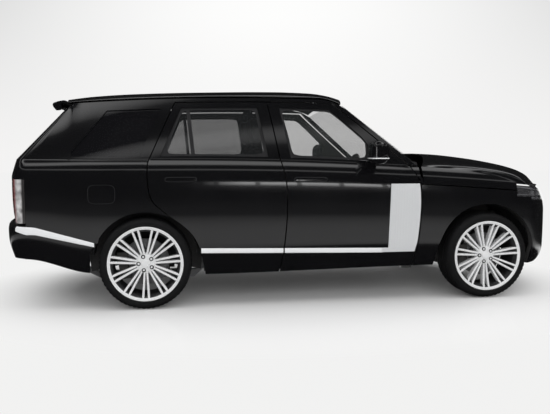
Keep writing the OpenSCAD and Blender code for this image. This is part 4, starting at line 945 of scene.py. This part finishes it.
def make_tailgate(form):
    """Upper tailgate with glass and spoiler, and the lower flap."""
    ls = [0.78, 0.82, 0.87, 0.93, 1, form.win_lo, 1.3, 1.6, form.win_hi, 1.98]
    pane_ls = [form.win_lo + 0.001, 1.3, 1.6, form.win_hi - 0.001]
    end = form.a_gate - 0.08
    angles = [-end, -12.7, -8.5, -4.2, 0, 4.2, 8.5, 12.7, end]
    g = sample(lambda u, v: form.gate_pt(along(ls, u), along(angles, v)), 9, 8, 4, 5)
    skin = shell([g, inward(g, 5), inward(g, 36)], lambda i, j: not (5 <= i < 8 and 1 <= j < 7), (4, 5))
    put("panel_gate_upper", skin, ("paint", "inner"), "tailgate_upper", ("tailgate_upper",), "black_paint", bevel=EDGE)
    q = sample(lambda u, v: form.gate_pt(along(pane_ls, u), along(angles, v + 1)), 3, 6, 5, 5)
    put("pane_gate", shell([inward(q, 7), inward(q, 13)]), ("dark_glass",), "tailgate_upper", ("tailgate_glass",),
        "dark_glass")
    put("spoiler", spoiler(form), ("paint",), "tailgate_upper", (), "black_paint", sharp=50)
    lid = sample(lambda u, v: form.lid_pt(u / 5, lerp(-end, end, v / 10)), 5, 10, 5, 4)
    put("panel_gate_lower", shell([lid, inward(lid, 5), inward(lid, 58)]), ("paint", "inner"), "tailgate_lower",
        ("tailgate_lower",), "black_paint", bevel=EDGE)


def spoiler(form):
    """Roof spoiler over the rear window, its section rounded at the corners."""
    x, rings = form.gate_axis[0] - 9, []
    for i in range(33):
        q = lerp(-1, 1, i / 32)
        z = min(form.roof_pt(0, q * 0.93)[2], form.gate_axis[1] + 5) - 2
        b = 75 * (1 - q * q)
        pts = np.array([(x, z - 72), (x, z), (x - 30 - b * 0.6, z - 9), (x - 58 - b, z - 24), (x - 66 - b, z - 44),
                        (x - 40, z - 76)])
        ring = []
        for k, p in enumerate(pts):
            before, after = lerp(p, pts[k - 1], 0.2), lerp(p, pts[(k + 1) % 6], 0.2)
            for t in (0.12, 0.5, 0.88):
                e = before * (1 - t) ** 2 + p * 2 * t * (1 - t) + after * t * t
                ring.append((e[0], q * (form.half_w - 356), e[1]))
        rings.append(ring)
    return loft(rings)


def put_bumper(name, node, place, station, skirt, heights, cols, split, keep=None):
    """Bumper skin over stations of both sides, set in along the way each faces."""
    def point(u, v):
        w, k = place(v)
        return flipped(skirt(station(w), along(heights, u)), k)
    g = sample(point, len(heights) - 1, cols, split, 4)
    turns = [station(place(j / 4)[0])[2] for j in range(g.shape[1])]
    signs = [1 if y >= 0 else -1 for y in g[0, :, 1]]
    put(name, shell(set_in(g, turns, 38, signs), keep, (split, 4)), ("paint", "under"), "body", (node,), "black_paint",
        bevel=EDGE)


def make_bumpers(form):
    """Front and rear bumpers, with the bright strips at the rear corners."""
    fa, ra = form.x_fa, form.x_ra
    ds = [322, 350, 380, 405, 425, 440, 452]
    turns = [form.at_x(fa + ds[-1])[2], 52, 44, 36, 28.5, 27, 18, 9, 0]
    def station(v):
        return form.at_x(fa + along(ds, v)) if v <= 6 else form.nose(along(turns, v - 6))
    def skirt(s, t):
        side = s[1] > 800
        foot = form.level(s[0], form.arch_z(s[0], fa, form.arch_f)) if side and s[0] < fa + 446 else 0
        head = form.v_bumper
        if side and s[0] < fa + 414:
            head = min(form.level(s[0], form.lamp_line(s[0] - fa)), head)
        return form.low(s, lerp(foot, head, t))
    def keep(i, j):
        d = min(abs(j - 14), abs(j - 13))
        return not (i >= 8 and d < 3) and not (3 <= i < 5 and d < 2)
    put_bumper("panel_bumper_front", "front_bumper", lambda v: (v, 1) if v <= 14 else (28 - v, -1), station, skirt,
               [0, 0.04, 0.13, 0.18, 0.25, 0.4, 0.53, 0.68, 0.82, 0.92, 1], 28, 3, keep)
    tail_turns = [0, 5, 10, 15, 24, 40, 60, 78, 90]
    tail_x = [form.c_tail[0]] + [ra - d for d in (780, 640, 520, 446, 432, 410, 385)]
    def tail_station(v):
        return form.tail(along(tail_turns, v)) if v < 8 else form.at_x(along(tail_x, v - 8))
    def tail_skirt(s, t):
        foot = form.level(s[0], form.arch_z(s[0], ra, form.arch_r + 18)) if s[0] > ra - 440 else 0
        head = form.level(s[0], form.bumper_top(s[0]) - 0.8) if s[0] > form.c_tail[0] - 1 else form.v_step
        return form.low(s, lerp(foot, head, t))
    put_bumper("panel_bumper_rear", "rear_bumper", lambda v: (15 - v, -1) if v <= 15 else (v - 15, 1), tail_station,
               tail_skirt, [0, 0.15, 0.28, 0.52, 0.78, 0.92, 1], 30, 4)
    def strip(low, crown):
        def point(u, v):
            s = form.at_x(lerp(ra - 398, form.c_tail[0] + 1, v)) if v <= 1 else form.tail(lerp(89.8, 56, v - 1))
            top = min(form.bumper_top(s[0]), form.height(s[0], form.v_step)) - 2
            z = top - (lerp(33, 62, v) if v <= 1 else lerp(62, 40, v - 1)) * (1 - u)
            return form.low(s, form.level(s[0], z)) + (low + crown * dome(u)) * facing(s[2])
        return sample(point, 1, 2, 8, 30)[:, ::-1]
    put("strips_rear", pair(shell([strip(1.0, 4), strip(0.4, 0)])), ("bright",), "body", (), "silver")


def make_arch_walls(form):
    """Inner walls of the rear arches, behind the tyres, and bands between front liners and wings."""
    def wall(y):
        def point(u, v):
            a, r = lerp(192, -12, v), lerp(205, form.arch_r + 44, u)
            return np.array((form.x_ra + r * cos(a), y, form.tyre_r + r * sin(a)))
        return sample(point, 1, 1, 2, 68)
    def band(r):
        def point(u, v):
            a = lerp(168, 30, v)
            x, z = form.x_fa + r * cos(a), form.tyre_r + r * sin(a)
            return np.array((x, lerp(864, form.skin(x, z)[1] - 32, u), z))
        return sample(point, 1, 1, 2, 46)
    put("arch_walls", pair(shell([wall(696), wall(690.6)]), shell([band(form.arch_f + 12), band(form.arch_f + 4)])),
        ("under",), "body", (), "dark_trim")


def make_cowl_corners(form):
    """Painted corners between door, bonnet and windscreen pillar."""
    def corner(depth):
        def point(u, v):
            z = lerp(1004, 1139, u)
            x1 = form.x_hood_r - curve([(1004, 6), (1050, 8), (1074, 25), (1139, 26)], z)
            x = lerp(form.lead_line(z) + form.g + 1.5, x1, v)
            return form.low(form.at_x(x), form.level(x, z)) - np.array((0, depth, 0))
        return sample(point, 1, 1, 12, 6)
    put("cowl_corners", pair(shell([corner(0), corner(5)])), ("paint",), "body", (), "black_paint")


def make_windscreen(form):
    """Windscreen, bowed forwards and upwards in its middle."""
    z0, z1 = 1172, form.rail_z(form.x_roof_f) - 16
    def point(u, v):
        t, q = u / 5, lerp(1, -1, v / 12)
        z, b = lerp(z0, z1, t), 1 - q * q
        x = form.a_line(z)
        return np.array((x + 10.6 + lerp(190, 64, t) * b, q * (form.skin(x, z)[1] - 16), z + lerp(30, 58, t) * b))
    g = sample(point, 5, 12, 6, 5)
    put("pane_windscreen", shell([g, inward(g, 6)]), ("clear_glass",), "body", ("windscreen",), "clear_glass")


def make_lamps(form):
    """Head lamps with lenses, light guides and projectors, and tail lamps."""
    xs = [form.lamp_x0 + 1] + [form.x_fa + d for d in (330, 380, 406, 412, 430)]
    turns = [form.at_x(xs[-1])[2], 52, 44, 36, 28.9]
    def station(v):
        return form.at_x(along(xs, v)) if v <= 5 else form.nose(along(turns, v - 5))
    def layer(front, back, lo=0, hi=1, rows=8):
        def grid(d):
            def point(u, v):
                s = station(v)
                over_wing = s[0] < form.x_fa + 408 and s[1] > 800
                k0 = form.level(s[0], form.lamp_z0) if over_wing else form.v_bumper + 0.0006
                return form.low(s, lerp(k0, form.v_lamp - 0.008, lerp(lo, hi, u))) - d * facing(s[2])
            return sample(point, 1, 9, rows, 4)
        return shell([grid(front), grid(back)])
    put("lamp_lens", pair(layer(0, 4)), ("lens",), "body", ("headlamps",), "lamp")
    parts = [picked(layer(38, 60), 0), picked(layer(12, 30, 0.78, 0.9, 2), 1), picked(layer(12, 30, 0.12, 0.2, 2), 1)]
    projector = turned([(20, 0), (24, 6), (24, 16), (20, 20), (14, 21), (6, 24), (0.4, 25)], 20, 1)
    for s in map(station, (5.4, 6.6, 7.7, 8.5)):
        parts.append(swung(projector, form.low(s, 0.81) - 34 * facing(s[2]), ("Z", s[2]), ("Y", 90)))
    put("lamp_bowls", pair(*parts), ("bowl", "glow"), "body", (), "lamp")
    tail_turns = [form.a_gate + 0.08, 20, 26, 34, 46, 60, 75, 89.7]
    def tail(d, z0, z1, turns):
        def point(u, v):
            s = form.tail(along(turns, v))
            z = lerp(z0, z1, u / 6)
            p = form.low(s, form.level(s[0], z)) - d * facing(s[2])
            return np.array((p[0], p[1], z))
        return sample(point, 6, len(turns) - 1, 6, 3)
    z0, z1 = form.lid_z0 - 4, form.lamp_top - 0.4
    put("tail_lamps", pair(shell([tail(d, z0, z1, tail_turns) for d in (0, 60)])), ("red",), "body", ("tail_lamps",),
        "red_lamp")
    bars = [shell([tail(d, z, z + 10, tail_turns[:5]) for d in (-1.6, 3)]) for z in range(int(z0) + 24, 1040, 52)]
    put("tail_bars", pair(*bars), ("screen",), "body", (), "grille_black")


def make_grille(form):
    """Grille bars with upright fins between them, and the lower intake."""
    def bar(a1, v0, v1, front, back):
        def grid(d, crown):
            def point(u, v):
                a = lerp(a1, -a1, v)
                s = form.nose(abs(a))
                p = form.low(s, lerp(v0, v1, u)) - (d - crown * (1 - (2 * u - 1) ** 2)) * facing(s[2])
                return np.array((p[0], math.copysign(p[1], a), p[2]))
            return sample(point, 1, 1, 4, 24)
        return shell([grid(front, 3), grid(back, 0)])
    parts = [bar(26.98, v - 0.018, v + 0.018, 3, 14) for v in (lerp(0.625, 0.885, k / 5) for k in range(6))]
    parts += [bar(26.98, 0.6035, 0.905, 15, 33), bar(17.98, 0.134, 0.293, 12, 30)]
    for k in range(-26, 27, 2):
        s = form.nose(abs(k))
        rings = []
        for v in (0.61, 0.75, 0.9):
            x, y, z = form.low(s, v) - 8 * facing(s[2])
            y = math.copysign(y, k)
            rings.append([(x, y - 2, z), (x, y + 2, z), (x - 7.5, y + 2, z), (x - 7.5, y - 2, z)])
        parts.append(loft(rings))
    parts += [bar(17.9, v - 0.006, v + 0.006, 4, 11) for v in (0.17, 0.21, 0.25)]
    put("grille_bars", joined(parts), ("screen",), "body", ("grille",), "grille_black")


def make_blades(form):
    """Silver blades on the front doors, ribbed, each with its foot along the sill."""
    zs = [424, 462, 525, 620, 720, 824, 920, 1004]
    ts = [-330, -274, -190, -100, 0]
    def grid(out):
        def point(u, v):
            z, t = along(zs, u), along(ts, v)
            front = form.lead_line(z) - form.g - 6
            lean = (z - 1006) * 0.03 * min(1, max(0, (t + 100) / -100))
            x = lerp(form.x_lead - 100, front, v - 3) if v > 3 else form.x_lead + t + lean
            rib = math.sin(v * 16 * math.pi) if 1.3 < v < 3.6 and u > 1.2 else 0
            return form.skin(x, z, out + rib)
        return sample(point, 7, 4, 4, 12)
    blade = shell([grid(6.6), grid(0.9)], lambda i, j: j > 0 or i < 1, (4, 12))
    for side, k in SIDES:
        put("blade_panel_" + side, mirrored(blade, k), ("silver",), "door_front_" + side, ("blade_" + side,), "silver",
            bevel=1.2)


def make_mirrors(form):
    """Door mirrors: domed cap, foot on the door and a thin bright line round the cap."""
    cx, y, z, reach, half = form.x_fa - 1050, form.half_w - 5, 1262, 205, 100
    def width(i):
        return half * curve([(0, 0.6), (0.1, 0.84), (0.5, 1), (0.85, 0.94), (1, 0.66)], i / 24)
    rings = []
    for i in range(25):
        ring = []
        for a in range(0, 360, 9):
            c = cos(a)
            ring.append((cx + width(i) * (c if c > 0 else 0.6 * c), y + reach * i / 24,
                         z + width(i) * bent(sin(a), 0.7)))
        rings.append(ring)
    foot = rounded_box((cx - 20, form.skin(cx - 20, 1190)[1] + 0.4, 1188), (cx + 70, y + 35, 1212), 9, 1)
    cap = joined([loft(rings), foot])
    front, rear = [], []
    for i in range(3, 25):
        w = width(i) * math.sqrt(1 - (0.44 * half / width(i)) ** (2 / 0.7))
        out = y + reach * i / 24 + (2 if i == 24 else 0)
        front.append((cx + w + 2, out))
        rear.append((cx - 0.6 * w - 2, out))
    line = loft([[(px, py, z + dz) for px, py in front + rear[::-1]] for dz in (-48, -40)])
    for side, k in SIDES:
        body = "door_front_" + side
        put("mirror_cap_" + side, mirrored(cap, k), ("paint", "trim"), body, ("mirror_" + side,), "black_paint",
            sharp=50)
        put("mirror_line_" + side, mirrored(line, k), ("bright",), body, (), "silver")


def make_wheels(form):
    """Road wheels with paired spokes, lug nuts, discs and tyres."""
    r, lug_r = form.rim_r, 57
    rim = [(r - 26, -126), (r - 4, -127), (r + 1, -128), (r + 2, -131), (r + 2, -136), (r - 2, -138), (r - 34, -138),
           (r - 40, -90), (r - 44, 40), (r - 42, 80), (r - 40, 108), (r - 34, 120), (r - 22, 129), (r - 10, 136),
           (r - 2, 138.5), (r + 2, 137), (r + 2, 128), (r - 6, 124), (r - 14, 122), (r - 22, 112), (r - 24, 104),
           (r - 30, 40)]
    # Barrel faces seen between the spokes take the dark finish: painted shade in the wheel's recesses
    dark = [int(b[1] > -100 and a[1] < 131 and max(a[0], b[0]) < r - 16) for a, b in zip(rim, rim[1:] + rim[:1])]
    parts = [turned(rim[::-1], 120)[:2] + (dark * 120,)]
    parts.append(turned([(30.2, 15), (30.2, 99), (40, 100), (60, 99), (72, 95), (82, 82), (86, 68), (86, 15)], 72))
    parts.append(turned([(0.5, 96), (0.5, 109), (20, 108.6), (32, 107), (37, 104), (38, 100), (38, 96)], 48))
    parts += [spoke(form, 360 * k / form.pairs + 90, s) for k in range(form.pairs) for s in (-1, 1)]
    # The seats round the lug nuts take the dark finish: painted shade in the lug recesses
    seat = turned([(17, 93), (17, 98), (16, 99.4), (10, 99.4), (9, 97), (9, 93)], 24, 1)
    nut = turned([(0.3, 93), (0.3, 104), (6, 104), (9, 101), (9, 93)], 6)
    for a in range(-38, 322, 72):
        parts += [moved(seat, (lug_r * cos(a), lug_r * sin(a), 1.5)), moved(nut, (lug_r * cos(a), lug_r * sin(a), 0))]
    disc = turned([(31, -32), (31, 15.5), (108, 15.5), (110, 13), (110, -4), (188, -4), (190, -6), (190, -15),
                   (150, -15.5), (150, -20.5), (190, -21), (190, -30), (188, -32)], 96)
    wheel, tread = joined(parts), tyre(form)
    for end, x in (("front", form.x_fa), ("rear", form.x_ra)):
        for side, k in SIDES:
            body = "wheel_%s_%s" % (end, side)
            for name, part, looks, nodes, slot in (
                    ("rim_", wheel, ("alloy", "pocket"), (body,), "alloy"), ("disc_", disc, ("steel",), (), "steel"),
                    ("tread_", tread, ("rubber",), ("tyre_%s_%s" % (end, side),), "tyre")):
                out = [(x + q[0], form.wheel_y + q[2], form.tyre_r - q[1]) for q in part[0]]
                put(name + body, mirrored((out,) + part[1:], k), looks, body, nodes, slot, sharp=40)


def spoke(form, turn, s):
    """One slim spoke of a pair, deeper towards the rim, with a rounded face."""
    r0, r1, half = 62, form.rim_r - 12, 8.6
    rings = []
    for i in range(13):
        t = i / 12
        r, off = lerp(r0, r1, t), s * lerp(9, 24, t)
        w = half * (1 - 0.2 * (1 - t) ** 3 + 0.25 * max(0, t - 0.85) / 0.15)
        face = curve([(0, 92), (0.25, 99), (0.6, 112), (0.86, 123), (1, 134)], t)
        foot = curve([(0, 40), (0.9, 74), (1, 120)], t)
        edge = [(1, foot), (1.05, lerp(foot, face, 0.6)), (1, face - 4), (0.6, face - 0.8)]
        section = [(-w * d, z) for d, z in edge] + [(0, face)] + [(w * d, z) for d, z in edge[::-1]]
        rings.append([(r * cos(turn) - (off + d) * sin(turn), r * sin(turn) + (off + d) * cos(turn), z)
                      for d, z in section])
    return loft(rings)


def tyre(form):
    """Tyre with rounded shoulders, raised rim guard, grooves and shoulder blocks."""
    b, r, w, steps, cut = form.tyre_w / 2, form.rim_r, form.tyre_r, 180, 5.0
    half = [(r - 12, b - 17.9), (r + 2.6, b - 14.6), (r + 6, b - 6), (r + 10, b - 1.5), (r + 15, b - 0.2),
            (r + 19, b - 2), (r + 26, b - 1.2), (r + 34, b - 0.6), (w - 30, b - 4), (w - 20, b - 10), (w - 10, b - 20),
            (w - 5, b - 28), (w - 2, b - 38), (w - 0.4, b - 52)]
    for groove in (64, 22):
        half += [(w, groove + 7), (w - 7, groove + 5), (w - 7, groove - 5), (w, groove - 7)]
    profile = half + [(pr, -pz) for pr, pz in reversed(half)]
    rings = []
    for i in range(steps):
        a, ring = 360 * i / steps, []
        for pr, pz in profile:
            if i % 3 == 0 and w - 12 < pr and b - 58 < abs(pz) < b - 15:
                pr -= cut
            ring.append((pr * cos(a), pr * sin(a), pz))
        rings.append(ring)
    return loft(rings, closed=True)


def cushion(size, crown, tilt, place):
    """Closed cushion with crowned faces and edges that pull in between the corners, tilted back in place."""
    hx, hy, hz = (s / 2 for s in size)
    n, rings = 14, []
    for i in range(n + 1):
        a = -90 + 180 * i / n
        k = abs(cos(a)) ** 0.35
        z = bent(sin(a), 0.6)
        ring = []
        for j in range(4 * n):
            px, py = bent(cos(90 * j / n), 0.35), bent(sin(90 * j / n), 0.35)
            pull = 1 - 0.03 * (1 - abs(px * py) ** 2)
            puff = crown * (1 - (px * k) ** 2) * (1 - (py * k) ** 2)
            ring.append((px * hx * k * pull, py * hy * k * pull, z * (hz - crown) + math.copysign(puff, z)))
        rings.append(ring)
    for i in (0, -1):
        rings[i] = [(q[0] * 0.02, q[1] * 0.02, q[2]) for q in rings[i]]
    return swung(loft(rings), place, ("Y", tilt))


def make_cabin(form):
    """Padded seats and bench, the front seats' feet and headrest posts, displays and vents."""
    x, z, seat_y = form.x_fa - 1470, form.sill_z + 84.4, (-380, 380)
    soft, posts = [], []
    for y in seat_y:
        soft.append(cushion((520, 500, 130), 22, -4, (x - 190, y, z + 258)))
        soft.append(cushion((130, 480, 760), 16, -14, (x - 405, y, z + 590)))
        soft.append(cushion((95, 280, 230), 14, -8, (x - 500, y, z + 1110)))
        for k in (-1, 1):
            soft.append(cushion((460, 80, 120), 14, -4, (x - 190, y + k * 222, z + 270)))
            soft.append(cushion((120, 70, 600), 12, -14, (x - 375, y + k * 215, z + 560)))
            posts.append(moved(turned([(0.3, 0), (6, 0), (6, 120), (0.3, 120)], 12), (x - 490, y + k * 60, z + 925)))
    bases = [rounded_box((x - 420, y - 200, z), (x - 60, y + 200, z + 190), 30) for y in seat_y]
    seat = put("front_seat_pads", joined(soft), ("leather",), "body", ("front_seats",), "leather", sharp=60)
    put("front_seat_bases", joined(bases + posts), ("trim",), "body", (), "dark_trim")
    x, z = form.x_ra + 548, form.sill_z + 360.4
    soft = []
    for y, w in ((-440, 430), (0, 400), (440, 430)):
        soft.append(cushion((480, w, 130), 18, -4, (x - 230, y, z + 68)))
        soft.append(cushion((120, w, 540), 14, -10, (x - 490, y, z + 360)))
    soft += [cushion((80, 250, 170), 12, -6, (x - 545, y, z + 690)) for y in (-345, 345)]
    bench = put("bench_pads", joined(soft), ("leather",), "body", ("rear_bench",), "leather", sharp=60)
    x = form.x_lead
    screens = [rounded_box((x - 350, -150, 905), (x - 338, 150, 1065), 5),
               rounded_box((x - 352, -530, 1010), (x - 300, -230, 1125), 18)]
    put("dash_screens", joined(screens), ("screen",), "body", (), "grille_black")
    vents = [rounded_box((x - 352, y - 70, 985), (x - 336, y + 70, 1020), 6) for y in (-640, -215, 215, 640)]
    put("dash_vents", joined(vents), ("trim",), "body", (), "dark_trim")


def make_load_trim(form):
    """Side trim of the load space, from the load floor up to the waist and out to the tail lamps."""
    ys, zs = (662, 662, 664, 692, 760, 886), (form.sill_z + 360.8, 900, 1100, 1168, 1200, 1206)
    xs = [form.x_ra - d for d in (92, 300, 500, 700, 860, 893)]
    def skin(thick):
        def point(u, v):
            y = along(ys, u)
            return np.array((along(xs, v), lerp(y, max(y, 900), max(0, v - 4)) + thick, along(zs, u) - thick))
        return sample(point, 5, 5, 4, 4)
    put("load_trim", pair(shell([skin(0), skin(4)])), ("inner",), "body", (), "dark_trim")


def dress_nodes(_form):
    """Finishes of the CAD nodes that stay in view."""
    looks = {
        "floor_pan": "under", "side_frame_right": "paint", "side_frame_left": "paint", "wheel_liners": "trim",
        "scuttle": "trim", "front_axle": "iron", "rear_axle": "iron", "engine_block": "iron", "exhaust": "steel",
        "dashboard": "inner", "steering_wheel": "leather", "knuckle_right": "iron", "knuckle_left": "iron",
    }
    for name, finish in looks.items():
        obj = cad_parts[name]
        obj.data.materials.clear()
        obj.data.materials.append(finish_of(finish))


def make_floor(_form):
    """Pale floor that fades into the background away from the car."""
    scene = bpy.context.scene
    tone = scene.suv_colours.floor
    mesh = bpy.data.meshes.new("floor")
    mesh.from_pydata([(-30, -4.2, 0), (30, -4.2, 0), (30, 40, 0), (-30, 40, 0)], [], [(0, 1, 2, 3)])
    floor = bpy.data.objects.new("floor", mesh)
    scene.collection.objects.link(floor)
    mat = bpy.data.materials.new("studio_floor")
    s = Shade(mat)
    matt = s.node("ShaderNodeBsdfDiffuse", {}, {"Color": s.noise(0.6).mix(rgba(tone, 0.985), rgba(tone))})
    gloss = s.node("ShaderNodeBsdfGlossy", {}, {"Color": (1, 1, 1, 1), "Roughness": 0.1})
    both = s.node("ShaderNodeMixShader", {}, {0: 0.07, 1: matt, 2: gloss})
    far_x, far_y = s.axis(0) / 2.5, (s.axis(1) + 0.1) / 1.9
    away = ((far_x * far_x + far_y * far_y - 0.6) * 1.1).clamped() * 0.97 + 0.03
    camera_ray = s.node("ShaderNodeLightPath", {}, {}, 0)
    pale = s.node("ShaderNodeEmission", {}, {"Color": (0.885, 0.885, 0.88, 1), "Strength": 1.0})
    cove = s.node("ShaderNodeMixShader", {}, {0: away * camera_ray, 1: both, 2: pale})
    s.node("ShaderNodeOutputMaterial", {}, {"Surface": cove})
    mesh.materials.append(mat)
    floor.visible_glossy = False


def make_world(_form):
    """Pale background for the camera, even light, and a dark room with light strips for reflections."""
    world = bpy.data.worlds.new("studio")
    bpy.context.scene.world = world
    w = Shade(world)
    way = w.node("ShaderNodeTexCoord", {}, {}, 0)
    side, ahead, up = (w.node("ShaderNodeSeparateXYZ", {}, {0: way}, k) for k in range(3))
    camera_ray, glossy_ray, through_ray = (w.node("ShaderNodeLightPath", {}, {}, k) for k in (0, 3, 6))
    off = side - 0.15
    middle = (up * 5.0).clamped().mix((0.9, 0.895, 0.89, 1), (0.985, 0.985, 0.98, 1))
    seen = (off * off * 7.0 * (up * 4.0).clamped()).clamped().mix(middle, (0.70, 0.70, 0.70, 1))
    def strip(height, narrow):
        return (1.0 - ((up - height) * narrow) ** 2.0).clamped()
    posts = w.node("ShaderNodeMath", {"operation": "SINE"}, {0: side * 90.0}).above(-0.93)
    reach = ((side - 0.03) * 14.0).clamped() * ((0.4 - side) * 14.0).clamped() * (ahead * -4.0).clamped()
    bars = strip(0.86, 16.0) * 1.2 + strip(0.62, 22.0) * 0.6 + strip(0.055, 30.0) * posts * reach * 4.0
    glare = bars + strip(-0.18, 24.0) * 0.55 + 0.01
    lit = w.node("ShaderNodeCombineColor", {}, {0: glare, 1: glare, 2: glare})
    colour = glossy_ray.mix((0.62, 0.62, 0.62, 1), lit)
    for ray in (through_ray, camera_ray):
        colour = ray.mix(colour, seen)
    back = w.node("ShaderNodeBackground", {}, {"Color": colour, "Strength": 1.0})
    w.node("ShaderNodeOutputWorld", {}, {"Surface": back})


def make_lights(_form):
    """Soft boxes above and beside the car, unseen in reflections."""
    for name, place, aim, size, power in (("top_box", (0.0, -0.5, 7.0), (0.0, -0.5, 0.0), (14.0, 8.0), 360),
                                          ("side_box", (-0.5, -9.0, 4.0), (0.0, 0.0, 0.6), (10.0, 3.0), 260)):
        data = bpy.data.lights.new(name, "AREA")
        data.shape, data.size, data.size_y, data.energy = "RECTANGLE", size[0], size[1], power
        lamp = bpy.data.objects.new(name, data)
        lamp.location = place
        lamp.rotation_euler = (Vector(aim) - Vector(place)).to_track_quat("-Z", "Y").to_euler()
        lamp.visible_glossy = False
        bpy.context.scene.collection.objects.link(lamp)


def make_camera(_form):
    """The camera of the photo."""
    scene = bpy.context.scene
    data = bpy.data.cameras.new("camera")
    data.sensor_width, data.lens, data.clip_end = SENSOR_MM, LENS_MM, 200
    cam = bpy.data.objects.new("camera", data)
    cam.location = CAMERA_PLACE
    yaw, pitch = CAMERA_TURN
    aim = Vector((sin(yaw) * cos(pitch), cos(yaw) * cos(pitch), sin(pitch)))
    cam.rotation_euler = aim.to_track_quat("-Z", "Y").to_euler()
    scene.collection.objects.link(cam)
    scene.camera = cam
    scene.view_settings.view_transform = "Standard"


class SuvStep(bpy.types.Operator):
    """One step of the build."""

    bl_idname = "suv.step"
    bl_label = "SUV step"
    bl_options = {"REGISTER", "UNDO"}
    steps = ()

    def execute(self, context):
        form = Form(context.scene.suv_sizes)
        for step in self.steps:
            step(form)
        return {"FINISHED"}


class SuvDoors(SuvStep):
    """Builds doors, blades and mirrors."""

    bl_idname = "suv.doors"
    bl_label = "Doors, blades and mirrors"
    steps = (make_doors, make_blades, make_mirrors)


class SuvPanels(SuvStep):
    """Builds the fixed panels, bumpers, lids and windscreen."""

    bl_idname = "suv.panels"
    bl_label = "Panels, bumpers and lids"
    steps = (make_quarters, make_wings, make_roof, make_bands, make_bonnet, make_tailgate, make_bumpers,
             make_arch_walls, make_cowl_corners, make_windscreen)


class SuvLamps(SuvStep):
    """Builds the lamps and the grille."""

    bl_idname = "suv.lamps"
    bl_label = "Lamps and grille"
    steps = (make_lamps, make_grille)


class SuvWheels(SuvStep):
    """Builds the road wheels and tyres."""

    bl_idname = "suv.wheels"
    bl_label = "Wheels and tyres"
    steps = (make_wheels,)


class SuvCabin(SuvStep):
    """Builds the cabin."""

    bl_idname = "suv.cabin"
    bl_label = "Cabin"
    steps = (make_cabin, make_load_trim)


class SuvFinishes(SuvStep):
    """Gives the remaining CAD nodes their finishes."""

    bl_idname = "suv.finishes"
    bl_label = "Finishes"
    steps = (dress_nodes,)


class SuvStage(SuvStep):
    """Builds floor, light and camera."""

    bl_idname = "suv.stage"
    bl_label = "Stage"
    steps = (make_floor, make_world, make_lights, make_camera)


class SuvPanel(bpy.types.Panel):
    """Sidebar with sizes, colours and steps."""

    bl_idname = "VIEW3D_PT_suv"
    bl_label = "SUV"
    bl_space_type = "VIEW_3D"
    bl_region_type = "UI"
    bl_category = "SUV"

    def draw(self, context):
        for group in (context.scene.suv_sizes, context.scene.suv_colours):
            for key in group.__annotations__:
                self.layout.prop(group, key)
        for step in STEPS:
            self.layout.operator(step.bl_idname)


STEPS = (SuvDoors, SuvPanels, SuvLamps, SuvWheels, SuvCabin, SuvFinishes, SuvStage)
CLASSES = (SuvSizes, SuvColours) + STEPS + (SuvPanel,)


def register():
    """Makes the classes and their settings known."""
    for c in CLASSES:
        bpy.utils.register_class(c)
    bpy.types.Scene.suv_sizes = bpy.props.PointerProperty(type=SuvSizes)
    bpy.types.Scene.suv_colours = bpy.props.PointerProperty(type=SuvColours)


def unregister():
    """Takes the classes and their settings away."""
    del bpy.types.Scene.suv_sizes
    del bpy.types.Scene.suv_colours
    for c in reversed(CLASSES):
        bpy.utils.unregister_class(c)


def main():
    """Builds the whole SUV."""
    register()
    for step in STEPS:
        group, name = step.bl_idname.split(".")
        getattr(getattr(bpy.ops, group), name)()


if __name__ == "__main__":
    main()
